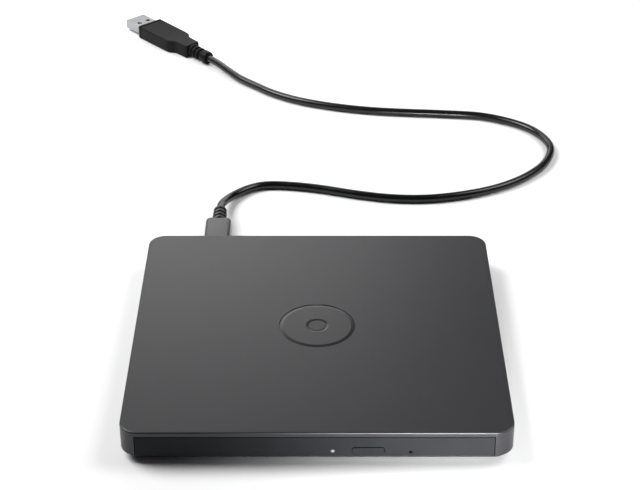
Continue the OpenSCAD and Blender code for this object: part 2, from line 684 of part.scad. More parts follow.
module spindle_stator() color("#b08d57") mech() {
  difference() {
    union() {
      post([0, 0, z_tray + 0.2], 14.3, 0.4);
      for (a = [120, 180, 240]) rotate(a) {
        block([12, -2, z_tray + 0.2], [18.2, 2, z_tray + 0.6]);
        post([16.6, 0, z_tray + 0.5], 1.3, z_frame - z_tray - 0.5);
      }
      post([0, 0, z_tray + 0.5], 2.2, z_frame - z_tray - 0.5);
      post([0, 0, z_tray + 0.9], 4.2, 1.3);
      for (a = [0 : 40 : 320]) rotate(a) {
        block([2, -0.7, z_tray + 1.2], [10.6, 0.7, z_tray + 1.9]);
        block([4.8, -1.3, z_tray + 0.8], [9.2, 1.3, z_tray + 2.3]);
      }
    }
    post([0, 0, z_tray + 0.3], shaft_r + run_gap, 5);
  }
}

module latch_solenoid() color("#8a5a2c") difference() {
  block([pivot_x - 15, pivot_y - 3, z_parts], [pivot_x - 5, pivot_y + 4, z_deck - 0.1]);
  shaft_x([pivot_x - 12, pivot_y + 1, z_parts + 1.2], 0.9, 10);
}

// ---------------------------------------------------------------- what turns with the disc

module rotor() color("#c2c4c6") mech() {
  difference() {
    post([0, 0, z_tray + 0.9], rotor_r, z_deck - z_tray - 0.8);
    post([0, 0, z_tray + 0.8], rotor_r - 0.6, z_frame - z_tray - 0.6);
  }
  post([0, 0, z_tray + 0.7], shaft_r, z_disc - z_tray);
}

module pawl_slot() block([hub_r - 3.1, -1.6, z_disc + 0.6], [hub_r + 2, 1.6, z_hub_top + 1]);
module turntable() color("#46484c") mech() difference() {
  union() {
    post([0, 0, z_deck + 0.1], table_r, z_recess - z_deck - 0.1);
    post([0, 0, z_recess - eps], hub_r, z_hub_top - 0.6 - z_recess + eps);
    translate([0, 0, z_hub_top - 0.6]) cylinder(r1 = hub_r, r2 = hub_r - 1.2, h = 0.6);
  }
  post([0, 0, z_deck - 1], shaft_r, z_disc - z_deck + 1.7);
  for (a = [0, 120, 240]) rotate(a) pawl_slot();
}

module turntable_mat() color("#1a1a1b") mech() difference() {
  post([0, 0, z_recess], table_r - 0.1, z_disc - z_recess);
  post([0, 0, z_recess - 1], table_r - 3, 3);
}

module clamp_pawl(a) color("#d7d8da") mech() rotate(a) {
  block([hub_r - 2.4, -1.4, z_disc + 0.7], [hub_r - 0.2, 1.4, z_hub_top - 0.7]);
  translate([hub_r - 0.2, 1.4, z_disc + 1.35]) rotate([90, 0, 0]) cylinder(r = 0.6, h = 2.8, $fn = 32);
}
module clamp_pawl_a() clamp_pawl(0);
module clamp_pawl_b() clamp_pawl(120);
module clamp_pawl_c() clamp_pawl(240);

// ---------------------------------------------------------------- laser sled

module sled_body() color("#7d7f82") mech() difference() {
  union() {
    block([lens_u - 8.4, -14.4, z_tray + 0.3], [lens_u + 9.8, 14.4, z_frame - 0.3]);
    block([lens_u - 5, 14, z_tray + 0.4], [lens_u + 5, 18.9, z_arm]);
    block([lens_u - 2.4, -18.5, z_tray + 0.4], [lens_u + 2.4, -14, z_arm]);
    block([lens_u - 2.5, 18.5, z_screw - 0.6], [lens_u + 2.5, screw_v - 1.1, z_screw + 0.6]);
    block([lens_u - 7.4, -6.6, z_frame - 0.4], [lens_u + 7.4, -4.8, z_deck]);
    block([lens_u - 7.4, 4.8, z_frame - 0.4], [lens_u + 7.4, 6.6, z_deck]);
  }
  for (v = [-rod_v, rod_v]) shaft_x([lens_u - 10, v, z_rod], rod_r + run_gap, 22);
  block([lens_u - 8, 9, z_tray], [lens_u - 3, 14, z_frame]);
}

module laser_package() color("#c8a24a") mech()
  block([lens_u - 8, 9.3, z_tray + 0.5], [lens_u - 3.4, 13.7, z_frame - 0.5]);

module lens_holder() color("#20211f") mech() difference() {
  union() {
    block([lens_u - 4, -3.6, z_frame + 0.3], [lens_u + 4, 3.6, z_recess - 0.5]);
    post([lens_u, 0, z_frame + 0.3], 3, z_recess - z_frame - 0.7);
  }
  post([lens_u, 0, z_frame - 1], lens_r, 5);
}

module lens() color("#9fc3d6") mech() {
  post([lens_u, 0, z_frame + 0.5], lens_r, 0.9);
  translate([lens_u, 0, z_frame + 1.4]) cylinder(r1 = lens_r, r2 = 1, h = 0.3);
}

module lead_screw() color("#d0d2d4") mech() {
  shaft_x([16, screw_v, z_screw], 0.5, 45.5);
  shaft_x([18.8, screw_v, z_screw], 0.8, 41.4);
  for (i = [0 : 11]) shaft_x([22.5 + 3 * i, screw_v, z_screw], 1, 0.8);
}

// ---------------------------------------------------------------- controls, latch and ejector

module eject_button() color("#4b4c50") {
  translate([button_x, -half_d - button_out, z_button]) rotate([-90, 0, 0])
    linear_extrude(bezel_t + button_out - 0.9) round_rect(button_w, button_h, 0.8);
  block([button_x - 6.9, tray_front - 0.95, z_button - 1.6],
    [button_x + 6.9, tray_front - 0.55, z_button + 1.6]);
  shaft_y([button_x, tray_front - 0.6, z_button], 0.9, stem_end - tray_front + 0.6);
}

z_hook = z_tray + 1.4;
module latch_hook() color("#e0dfd8") difference() {
  union() {
    post([pivot_x, pivot_y, z_hook], 1.7, 1.2);
    block([pivot_x - 0.6, pivot_y, z_hook], [pivot_x + 1, pin_y + 3.2, z_hook + 1.2]);
    block([pivot_x - 0.6, pin_y + 1.9, z_hook], [pin_x - 1.6, pin_y + 3.2, z_hook + 1.2]);
  }
  post([pivot_x, pivot_y, z_hook - 1], pivot_r + 0.05, 4);
}

module solenoid_plunger() color("#a7a9ab") shaft_x([pivot_x - 10.5, pivot_y + 1, z_parts + 1.2], 0.8, 7.6);

module release_slider() color("#e0dfd8")
  block([pinhole_x - 1.1, tray_front + 0.4, z_pinhole - 0.65],
    [pinhole_x + 1.1, tray_front + 7.6, z_pinhole + 0.65]);

module eject_plunger() color("#e0dfd8") {
  shaft_y([ejector_x, ejector_y, z_ejector], 1.3, 1.2);
  shaft_y([ejector_x, ejector_y + 1, z_ejector], 0.75, drive_back - sheet - 1.2 - ejector_y);
}

spring_turns = 8;
spring_from = ejector_y - 11.4;
spring_to = ejector_y - 0.5;
module eject_spring() color("#c5c7c9") {
  n = spring_turns * 9;
  path = [
    for (i = [0 : n]) [ejector_x + 1 * cos(360 * spring_turns * i / n),
      spring_from + (spring_to - spring_from) * i / n, z_ejector + 1 * sin(360 * spring_turns * i / n)]
  ];
  tube(path, [for (i = [0 : n]) heading(path, i) + [0, 0.001, 0]], 0.25, 6);
}

module rail()
  block([drive_left + rail_in, rail_front, z_rail],
    [drive_left + rail_in + rail_w, rail_back, z_rail + rail_h]);
module left_rail() color("#bfc1c3") rail();
module right_rail() color("#bfc1c3") translate([2 * drive_x, 0, 0]) mirror([1, 0, 0]) rail();

// ---------------------------------------------------------------- what is drawn

top_cover();
emblem_inlay();
bottom_cover();
rubber_feet();
case_screws();
rating_label();
foam_pads();
drive_chassis();
drive_top_plate();
side_screws();
left_rail_guide();
right_rail_guide();
latch_pin();
rear_board();
sata_plug();
sata_receptacle();
bridge_board();
bridge_parts();
usb_receptacle();
flex_cable();
usb_cable();
micro_plug_moulding();
micro_plug_shell();
usb_a_moulding();
usb_a_shell();
usb_a_tongue();
tray();
tray_bezel();
tray_shield();
tray_screws();
tray_board();
tray_board_parts();
tact_switch();
light_pipe();
traverse_frame();
dampers();
damper_screws();
guide_rods();
feed_motor();
spindle_stator();
latch_solenoid();
rotor();
turntable();
turntable_mat();
clamp_pawl_a();
clamp_pawl_b();
clamp_pawl_c();
sled_body();
laser_package();
lens_holder();
lens();
lead_screw();
eject_button();
latch_hook();
solenoid_plunger();
release_slider();
eject_plunger();
eject_spring();
left_rail();
right_rail();
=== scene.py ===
"""Looks of a slim external disc drive with its USB cable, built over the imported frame.

Lengths are in metres in the frame's own axes: +X right, +Y to the rear, +Z up. The tray slides out towards -Y.
"""

import json
import logging
import math
from dataclasses import dataclass, field
from enum import Enum
from typing import Any, Sequence

import bmesh
import bpy
from mathutils import Matrix, Vector


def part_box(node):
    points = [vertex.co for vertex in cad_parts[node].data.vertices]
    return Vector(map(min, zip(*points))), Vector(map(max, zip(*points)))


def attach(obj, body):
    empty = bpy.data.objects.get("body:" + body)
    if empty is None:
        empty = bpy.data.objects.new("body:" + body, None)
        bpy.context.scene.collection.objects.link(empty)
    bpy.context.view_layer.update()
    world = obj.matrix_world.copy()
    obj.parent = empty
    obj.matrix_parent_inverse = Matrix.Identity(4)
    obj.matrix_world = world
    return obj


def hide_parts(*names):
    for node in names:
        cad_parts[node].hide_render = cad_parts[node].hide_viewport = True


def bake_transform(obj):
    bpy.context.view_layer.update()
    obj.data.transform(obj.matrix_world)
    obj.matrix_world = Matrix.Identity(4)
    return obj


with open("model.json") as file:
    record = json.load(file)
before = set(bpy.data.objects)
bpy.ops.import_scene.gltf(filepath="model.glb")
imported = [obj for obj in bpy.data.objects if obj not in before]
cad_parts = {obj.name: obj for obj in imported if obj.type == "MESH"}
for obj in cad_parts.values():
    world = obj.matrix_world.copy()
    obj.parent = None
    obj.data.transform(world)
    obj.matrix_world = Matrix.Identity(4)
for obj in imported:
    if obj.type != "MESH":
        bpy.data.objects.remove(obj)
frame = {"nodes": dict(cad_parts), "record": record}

Tree, Node, Socket = bpy.types.NodeTree, bpy.types.Node, bpy.types.NodeSocket
Piece, Shape = bpy.types.Object, bmesh.types.BMesh

MM = 0.001
# Points of a CAD mesh closer than this are one point, and faces flatter than this are one face
MERGE_MM = 0.002
FLAT_DEG = 0.4
log = logging.getLogger("drive")
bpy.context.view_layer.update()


# ---------------------------------------------------------------- nodes and finishes


def linear(hex_colour: str) -> tuple[float, float, float, float]:
    """Turns an sRGB hex colour into linear red, green, blue and an alpha of 1.

    Args:
        hex_colour: six hex digits after a hash.

    Returns:
        The colour as Blender's sockets want it.
    """
    parts = [int(hex_colour[i : i + 2], 16) / 255 for i in (1, 3, 5)]
    red, green, blue = (p / 12.92 if p <= 0.04045 else ((p + 0.055) / 1.055) ** 2.4 for p in parts)
    return (red, green, blue, 1.0)


def add(tree: Tree, kind: str, sockets: dict[str | int, Any] | None = None, **settings: Any) -> Node:
    """Adds one node to a tree.

    Args:
        tree: the shader or geometry tree.
        kind: the node's type name.
        sockets: input name or number to a value, or to an output socket that is linked in.
        settings: the node's own properties.

    Returns:
        The new node.
    """
    made = tree.nodes.new(kind)
    for name, value in settings.items():
        setattr(made, name, value)
    for key, value in (sockets or {}).items():
        if isinstance(value, Socket):
            tree.links.new(value, made.inputs[key])
        else:
            made.inputs[key].default_value = value
    return made


class Grain(Enum):
    """How a surface was made, as the stretch of its grain along X, Y and Z."""

    EVEN = (1.0, 1.0, 1.0)
    ROLLED_X = (0.04, 1.0, 1.0)
    ROLLED_Y = (1.0, 0.04, 1.0)


@dataclass(frozen=True)
class Finish:
    """A surface finish: base colour that wanders a little, grain in the bump and uneven roughness."""

    name: str
    colour: str
    roughness: float
    ior: float = 1.5
    metallic: float = 0.0
    grain_mm: float = 0.3
    depth_mm: float = 0.004
    grain: Grain = Grain.EVEN
    mottle: float = 0.08
    mottle_mm: float = 9.0
    uneven: float = 0.06
    transmission: float = 0.0
    specular: float = 0.5

    def tint(self, tree: Tree, place: Socket) -> Socket:
        """Returns the socket that carries the base colour, here one colour that wanders."""
        cloud = add(tree, "ShaderNodeTexNoise", {"Vector": place, "Scale": 1 / (self.mottle_mm * MM), "Detail": 3.0})
        return self.between(tree, cloud.outputs["Fac"], self.shade(1 - self.mottle), self.shade(1 + self.mottle))

    def shade(self, factor: float) -> tuple[float, float, float, float]:
        """Returns the finish's colour, darker or lighter by a factor."""
        red, green, blue, alpha = linear(self.colour)
        return (min(red * factor, 1.0), min(green * factor, 1.0), min(blue * factor, 1.0), alpha)

    def between(self, tree: Tree, factor: Socket, low: Sequence[float],
                high: Sequence[float], start: float = 0.35, end: float = 0.65) -> Socket:
        """Mixes two colours.

        Args:
            tree: the shader tree.
            factor: what is read, from start to end.
            low: the colour at start.
            high: the colour at end.
            start: the factor that gives low.
            end: the factor that gives high.

        Returns:
            The mixed colour's socket.
        """
        ramp = add(tree, "ShaderNodeValToRGB", {"Fac": factor})
        ramp.color_ramp.elements[0].position, ramp.color_ramp.elements[1].position = start, end
        ramp.color_ramp.elements[0].color, ramp.color_ramp.elements[1].color = low, high
        return ramp.outputs["Color"]

    def material(self) -> bpy.types.Material:
        """Builds the finish's material once, and returns it."""
        if self.name in bpy.data.materials:
            return bpy.data.materials[self.name]
        made = bpy.data.materials.new(self.name)
        made.use_nodes = True
        tree = made.node_tree
        tree.nodes.clear()
        place = add(tree, "ShaderNodeTexCoord").outputs["Object"]
        along = add(tree, "ShaderNodeMapping", {"Vector": place, "Scale": self.grain.value}).outputs["Vector"]
        grit = add(tree, "ShaderNodeTexNoise", {"Vector": along, "Scale": 1 / (self.grain_mm * MM), "Detail": 2.0})
        bump = add(tree, "ShaderNodeBump", {
            "Height": grit.outputs["Fac"], "Distance": self.depth_mm * MM, "Strength": 1.0})
        smear = add(tree, "ShaderNodeTexNoise", {"Vector": along, "Scale": 1 / (4 * self.grain_mm * MM), "Detail": 4.0})
        rough = add(tree, "ShaderNodeMapRange", {
            "Value": smear.outputs["Fac"], "From Min": 0.3, "From Max": 0.7,
            "To Min": max(self.roughness - self.uneven, 0.02), "To Max": min(self.roughness + self.uneven, 1.0)})
        shader = add(tree, "ShaderNodeBsdfPrincipled", {
            "Base Color": self.tint(tree, place), "Roughness": rough.outputs["Result"],
            "Normal": bump.outputs["Normal"], "Metallic": self.metallic, "IOR": self.ior,
            "Transmission Weight": self.transmission, "Specular IOR Level": self.specular})
        add(tree, "ShaderNodeOutputMaterial", {"Surface": shader.outputs["BSDF"]})
        return made


@dataclass(frozen=True)
class BoardFinish(Finish):
    """Glass-epoxy board: green solder mask over copper tracks, which show as paler lines."""

    track_mm: float = 0.9

    def tint(self, tree: Tree, place: Socket) -> Socket:
        """Returns a green with square-cornered lines a track's width across."""
        tracks = add(tree, "ShaderNodeTexBrick", {
            "Vector": place, "Scale": 1 / (self.track_mm * MM), "Mortar Size": 0.09, "Brick Width": 5.0,
            "Row Height": 1.0, "Color1": self.shade(0.85), "Color2": self.shade(1.1), "Mortar": self.shade(1.8)})
        return tracks.outputs["Color"]


@dataclass(frozen=True)
class WoundFinish(Finish):
    """Enamelled copper wire: fine bands a wire's thickness across, with painted shade in the grooves between the turns.
    """

    wire_mm: float = 0.35

    def tint(self, tree: Tree, place: Socket) -> Socket:
        """Returns copper with darker lines between the turns, painted shade in the grooves between the round wires."""
        bands = add(tree, "ShaderNodeTexWave", {
            "Vector": place, "Scale": 1 / (self.wire_mm * MM * 6.28), "Distortion": 0.4, "Detail": 1.0})
        # The bands draw the turns; their dark end is painted shade between the wires
        return self.between(tree, bands.outputs["Fac"], self.shade(0.35), self.shade(1.15), 0.1, 0.5)


@dataclass(frozen=True)
class CellFinish(Finish):
    """Open-cell foam: thin lighter walls round darker pits, whose darkness is painted shade in the cells."""

    cell_mm: float = 0.7

    def tint(self, tree: Tree, place: Socket) -> Socket:
        """Returns grey with darker pits: painted shade in the open cells."""
        cells = add(tree, "ShaderNodeTexVoronoi", {"Vector": place, "Scale": 1 / (self.cell_mm * MM)})
        # Darker towards each cell's middle: painted shade in the pits
        return self.between(tree, cells.outputs["Distance"], self.shade(0.4), self.shade(1.4), 0.05, 0.6)


# Satin-painted ABS: a soft paint film, fine enough to blur reflections into a broad sheen
CASE_PAINT = Finish("satin_painted_abs", "#1f1f22", 0.38, ior=1.5, grain_mm=0.35, depth_mm=0.0016, mottle=0.05,
                    uneven=0.03)
# The front strip's paint is the case's satin paint made a little paler, with less sheen: the paleness is painted light
# on the front face
FRONT_PAINT_PAINTED_LIGHT = Finish("satin_front_painted_light", "#28292b", 0.33, specular=0.05, grain_mm=0.3, depth_mm=0.0012, mottle=0.05,
                     uneven=0.03)
# Polycarbonate of the inlay: dark and a little sharper in its sheen than the paint round it
INLAY_GLOSS = Finish("satin_polycarbonate", "#19191b", 0.33, ior=1.5, depth_mm=0.0008, mottle=0.04, uneven=0.03)
# ABS from a spark-eroded mould: a dull, even grain
PAN_ABS = Finish("spark_eroded_abs", "#1a1b1d", 0.55, grain_mm=0.45, depth_mm=0.012, mottle=0.08)
# Black ABS of the tray, eroded more finely
TRAY_ABS = Finish("fine_grain_black_abs", "#1c1d1f", 0.48, grain_mm=0.3, depth_mm=0.006, mottle=0.07)
# Glass-filled nylon of the connectors and small carriers
NYLON_BLACK = Finish("black_glass_filled_nylon", "#202226", 0.5, ior=1.53, grain_mm=0.25, depth_mm=0.005)
# Acetal is waxy and slightly see-through, so it looks soft white
ACETAL = Finish("natural_acetal", "#e4e2d8", 0.42, ior=1.48, grain_mm=0.5, depth_mm=0.003, mottle=0.03)
# Soft PVC over the plugs: satin black with a broad highlight
PLUG_PVC = Finish("moulded_pvc", "#1b1b1d", 0.34, ior=1.53, grain_mm=0.3, depth_mm=0.0025, mottle=0.06,
                  uneven=0.05)
# The same moulded PVC as the small plug, copied darker and with less sheen: painted shade that tones down the stronger
# light on the large plug
PLUG_PVC_PAINTED_SHADE = Finish("moulded_pvc_painted_shade", "#0a0a0b", 0.48, specular=0.14, grain_mm=0.3, depth_mm=0.0025, mottle=0.06,
                   uneven=0.05)
# PVC cable jacket: extruded, so smooth and fairly glossy
JACKET_PVC = Finish("extruded_pvc_jacket", "#0b0b0c", 0.24, specular=0.4, grain_mm=1.2, depth_mm=0.004, mottle=0.1,
                    uneven=0.05)
# Silicone rubber feet and the disc mat: matt and dusty
RUBBER = Finish("silicone_rubber", "#141415", 0.75, ior=1.43, grain_mm=0.5, depth_mm=0.01, mottle=0.15)
# Nickel-plated steel: a clear, slightly soft mirror
NICKEL = Finish("nickel_plated_steel", "#c9cacc", 0.2, metallic=1.0, grain_mm=0.3, depth_mm=0.001,
                grain=Grain.ROLLED_X, mottle=0.04)
# The large plug's shell: satin nickel over drawn steel, which spreads the light
SATIN_NICKEL = Finish("satin_nickel", "#a6a7aa", 0.42, metallic=1.0, grain_mm=0.3, depth_mm=0.001,
                      grain=Grain.ROLLED_X, mottle=0.04)
# Ground and polished rods and rails
GROUND_STEEL = Finish("ground_steel", "#bfc1c3", 0.24, metallic=1.0, grain_mm=0.12, depth_mm=0.001,
                      grain=Grain.ROLLED_Y, mottle=0.04)
# Zinc-plated sheet steel: greyer, with rolling lines along its length
ZINC_SHEET = Finish("zinc_plated_sheet", "#9b9da0", 0.36, metallic=1.0, grain_mm=0.35, depth_mm=0.002,
                    grain=Grain.ROLLED_Y, mottle=0.07)
# Blackened steel of the screws
BLACK_STEEL = Finish("blackened_steel", "#4a4b4e", 0.4, metallic=1.0, grain_mm=0.2, depth_mm=0.001)
# Die-cast magnesium of the laser sled: pale grey and slightly rough from the die
DIE_CAST = Finish("die_cast_magnesium", "#8b8d90", 0.5, metallic=1.0, grain_mm=0.5, depth_mm=0.01, mottle=0.12)
# Gold plating on contacts and on the laser's can
GOLD = Finish("gold_plating", "#d9b45c", 0.25, metallic=1.0, grain_mm=0.2, depth_mm=0.0005, mottle=0.04)
# Acrylic light guide over the lamp
ACRYLIC = Finish("clear_acrylic", "#cfd9dc", 0.16, ior=1.49, grain_mm=0.5, depth_mm=0.0005, mottle=0.02,
                 transmission=0.55)
# Coated glass lens: the coating gives it a faint blue
LENS_GLASS = Finish("coated_lens_glass", "#8fb4c8", 0.06, ior=1.52, grain_mm=1.0, depth_mm=0.0002, mottle=0.02,
                    transmission=0.75)
# Polyimide film: amber, with a satin face
POLYIMIDE = Finish("polyimide_film", "#b9782e", 0.32, ior=1.7, grain_mm=0.6, depth_mm=0.002, mottle=0.06)
# White film of the blank label
LABEL_FILM = Finish("matt_label_film", "#c7c8c9", 0.6, grain_mm=0.25, depth_mm=0.001, mottle=0.02)
# Moulding compound of the chips
EPOXY = Finish("chip_epoxy", "#1d1e20", 0.6, grain_mm=0.2, depth_mm=0.003)
# Green lacquer over the boards' copper tracks
SOLDER_MASK = BoardFinish("solder_mask", "#1d5a35", 0.35, ior=1.5, grain_mm=0.4, depth_mm=0.002)
# Lacquered copper wire of the coils, with painted shade between its turns
COIL_COPPER = WoundFinish("enamelled_copper", "#b06a3a", 0.3, metallic=1.0, grain_mm=0.3, depth_mm=0.004)
# Soft foam of the pads between the drive and the case, with painted shade in its cells
FOAM = CellFinish("open_cell_foam", "#37373a", 0.9, ior=1.45, grain_mm=0.7, depth_mm=0.05)


# ---------------------------------------------------------------- meshes


def body_of(node: str) -> str:
    """Returns the body that a CAD node belongs to."""
    bodies = frame["record"]["behaviour"]["bodies"]
    return next(body for body, members in bodies.items() if node in members)


def settle(piece: Piece, node: str, finish: Finish | None, stands_for: Sequence[str] = ()) -> Piece:
    """Gives a finished piece its material and body.

    Args:
        piece: the piece, with its place in its mesh.
        node: the CAD node whose body it takes.
        finish: the finish, or None where the mesh has its own already.
        stands_for: the CAD nodes that it replaces.

    Returns:
        The same piece.
    """
    if finish is not None:
        piece.data.materials.clear()
        piece.data.materials.append(finish.material())
    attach(piece, body_of(node))
    if stands_for:
        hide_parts(*stands_for)
    log.info("piece %s on %s", piece.name, body_of(node))
    return piece


def new_piece(name: str, mesh: Shape, smooth_angle: float = 35.0) -> Piece:
    """Makes an object from a bmesh, with faces outwards and smooth shading up to an angle.

    Args:
        name: the piece's name.
        mesh: its shape, which is freed here.
        smooth_angle: edges sharper than this many degrees stay sharp.

    Returns:
        The new object, linked to the scene.
    """
    bmesh.ops.recalc_face_normals(mesh, faces=mesh.faces)
    data = bpy.data.meshes.new(name)
    mesh.to_mesh(data)
    mesh.free()
    data.shade_smooth()
    data.set_sharp_from_angle(angle=math.radians(smooth_angle))
    piece = bpy.data.objects.new(name, data)
    bpy.context.scene.collection.objects.link(piece)
    return piece


def round_edges(piece: Piece, width: float, segments: int = 2, angle: float = 35.0) -> Piece:
    """Rounds the sharp edges of a piece with a live bevel, and keeps its flat faces flat in the shading.

    Args:
        piece: the piece.
        width: how far each edge is rounded.
        segments: faces across each rounded edge.
        angle: edges sharper than this many degrees are rounded.

    Returns:
        The same piece.
    """
    bevel = piece.modifiers.new("rounded_edges", "BEVEL")
    bevel.width, bevel.segments = width, segments
    bevel.limit_method, bevel.angle_limit = "ANGLE", math.radians(angle)
    bevel.use_clamp_overlap = True
    normals = piece.modifiers.new("flat_face_normals", "WEIGHTED_NORMAL")
    normals.mode, normals.weight, normals.keep_sharp = "FACE_AREA", 100, True
    return piece


def merged(node: str) -> Shape:
    """Returns a CAD node's mesh with the points that meet made one; the caller frees it."""
    shape = bmesh.new()
    shape.from_mesh(frame["nodes"][node].data)
    bmesh.ops.remove_doubles(shape, verts=shape.verts, dist=MERGE_MM * MM)
    return shape


def refined(node: str, finish: Finish, edge_mm: float = 0.15, segments: int = 2, angle: float = 32.0) -> Piece:
    """Replaces a CAD node by a merged copy of it with rounded edges.

    Args:
        node: the CAD node.
        finish: its finish.
        edge_mm: how far its edges are rounded, in millimetres.
        segments: faces across each rounded edge.
        angle: edges sharper than this many degrees are the ones that are rounded.

    Returns:
        The new piece.
    """
    shape = merged(node)
    bmesh.ops.dissolve_limit(shape, angle_limit=math.radians(FLAT_DEG), verts=shape.verts, edges=shape.edges)
    data = bpy.data.meshes.new(node + "_shape")
    shape.to_mesh(data)
    shape.free()
    data.shade_smooth()
    data.set_sharp_from_angle(angle=math.radians(angle))
    piece = bpy.data.objects.new(node + "_shape", data)
    bpy.context.scene.collection.objects.link(piece)
    if edge_mm:
        round_edges(piece, edge_mm * MM, segments, angle)
    return settle(piece, node, finish, [node])


def outline(width: float, height: float, radius: float, steps: int = 6) -> list[tuple[float, float]]:
    """Draws a round-cornered outline about the origin, anticlockwise.

    Args:
        width: its size across.
        height: its size upwards.
        radius: of its corners, which is cut down where it doesn't fit.
        steps: how many pieces each corner's arc has.

    Returns:
        Its points.
    """
    radius = min(radius, width / 2 - 1e-6, height / 2 - 1e-6)
    points = []
    for corner, (sx, sy) in enumerate(((1, 1), (-1, 1), (-1, -1), (1, -1))):
        for step in range(steps + 1):
            angle = math.radians(90 * corner + 90 * step / steps)
            points.append((sx * (width / 2 - radius) + radius * math.cos(angle),
                           sy * (height / 2 - radius) + radius * math.sin(angle)))
    return points


def loft(shape: Shape, rings: Sequence[Sequence[Vector]], caps: bool = True) -> None:
    """Skins closed rings of equal length into a tube.

    Args:
        shape: the bmesh that gets the faces.
        rings: the rings in order.
        caps: whether the first and last ring are closed.
    """
    rows = [[shape.verts.new(point) for point in ring] for ring in rings]
    count = len(rows[0])
    for low, high in zip(rows, rows[1:]):
        for i in range(count):
            shape.faces.new((low[i], low[(i + 1) % count], high[(i + 1) % count], high[i]))
    if caps:
        shape.faces.new(rows[0][::-1])
        shape.faces.new(rows[-1])


@dataclass
class Station:
    """A cross-section of a moulding: how far along its axis, how wide, how high and how round."""

    along: float
    width: float
    height: float
    radius: float

    def ring(self) -> list[Vector]:
        """Returns the section's points, in a frame whose +X is the moulding's axis."""
        return [Vector((self.along, y, z)) for y, z in outline(self.width, self.height, self.radius)]


def moulding(name: str, stations: Sequence[Station], place: Matrix) -> Piece:
    """Lofts a moulding through its stations, and puts it in place.

    Args:
        name: the piece's name.
        stations: its sections, in millimetres.
        place: from the moulding's frame in millimetres to the model's in metres.

    Returns:
        The new piece.
    """
    shape = bmesh.new()
    loft(shape, [station.ring() for station in stations])
    shape.transform(place)
    return new_piece(name, shape, 40)


# ---------------------------------------------------------------- geometry trees


class RuleTree:
    """A geometry tree with named inputs, whose result is realised, painted and turned into a plain mesh."""

    def __init__(self, name: str, inputs: dict[str, str]) -> None:
        """Starts a tree.

        Args:
            name: the tree's name.
            inputs: input name to kind of socket, such as Float.
        """
        self.tree = bpy.data.node_groups.new(name, "GeometryNodeTree")
        self.tree.interface.new_socket("Geometry", in_out="INPUT", socket_type="NodeSocketGeometry")
        for label, kind in {**inputs, "Finish": "Material"}.items():
            self.tree.interface.new_socket(label, in_out="INPUT", socket_type="NodeSocket" + kind)
        self.tree.interface.new_socket("Geometry", in_out="OUTPUT", socket_type="NodeSocketGeometry")
        self.source = self.tree.nodes.new("NodeGroupInput").outputs

    def __getitem__(self, label: str) -> Socket:
        """Returns the tree's input of that name."""
        return self.source[label]

    def add(self, kind: str, sockets: dict[str | int, Any] | None = None, **settings: Any) -> Node:
        """Adds a node to the tree and returns it."""
        return add(self.tree, kind, sockets, **settings)

    def times(self, a: Any, b: Any, operation: str = "MULTIPLY") -> Socket:
        """Returns the result of one sum on two numbers or sockets."""
        return self.add("ShaderNodeMath", {0: a, 1: b}, operation=operation).outputs[0]

    def along(self, x: Any = 0.0, y: Any = 0.0, z: Any = 0.0) -> Socket:
        """Returns a vector from three numbers or sockets."""
        return self.add("ShaderNodeCombineXYZ", {"X": x, "Y": y, "Z": z}).outputs["Vector"]

    def moved(self, shape: Node, z: Any) -> Socket:
        """Returns a node's shape moved along +Z."""
        return self.add("GeometryNodeTransform", {
            "Geometry": shape.outputs[0], "Translation": self.along(z=z)}).outputs[0]

    def close(self, shape: Socket) -> None:
        """Ends the tree: instances made real, and the finish."""
        real = self.add("GeometryNodeRealizeInstances", {"Geometry": shape})
        painted = self.add("GeometryNodeSetMaterial", {"Geometry": real.outputs[0], "Material": self.source["Finish"]})
        self.add("NodeGroupOutput", {0: painted.outputs[0]})

    def bake(self, name: str, values: dict[str, Any], place: Matrix, points: Sequence[Vector] = ()) -> Piece:
        """Runs the tree and returns its result as a plain mesh in place.

        Args:
            name: the piece's name.
            values: input name to value.
            place: from the tree's frame to the model's.
            points: where the tree's own pieces go, as the points of its input.

        Returns:
            The new piece, with no modifier left on it.
        """
        data = bpy.data.meshes.new(name)
        data.from_pydata([tuple(point) for point in points], [], [])
        piece = bpy.data.objects.new(name, data)
        bpy.context.scene.collection.objects.link(piece)
        rule = piece.modifiers.new("rule", "NODES")
        rule.node_group = self.tree
        for item in self.tree.interface.items_tree:
            if item.item_type == "SOCKET" and item.in_out == "INPUT" and item.name in values:
                rule[item.identifier] = values[item.name]
        piece.update_tag()
        bpy.context.view_layer.update()
        ready = piece.evaluated_get(bpy.context.evaluated_depsgraph_get())
        result = bpy.data.meshes.new_from_object(ready)
        piece.modifiers.remove(rule)
        piece.data = result
        result.transform(place)
        result.shade_smooth()
        result.set_sharp_from_angle(angle=math.radians(35))
        return piece


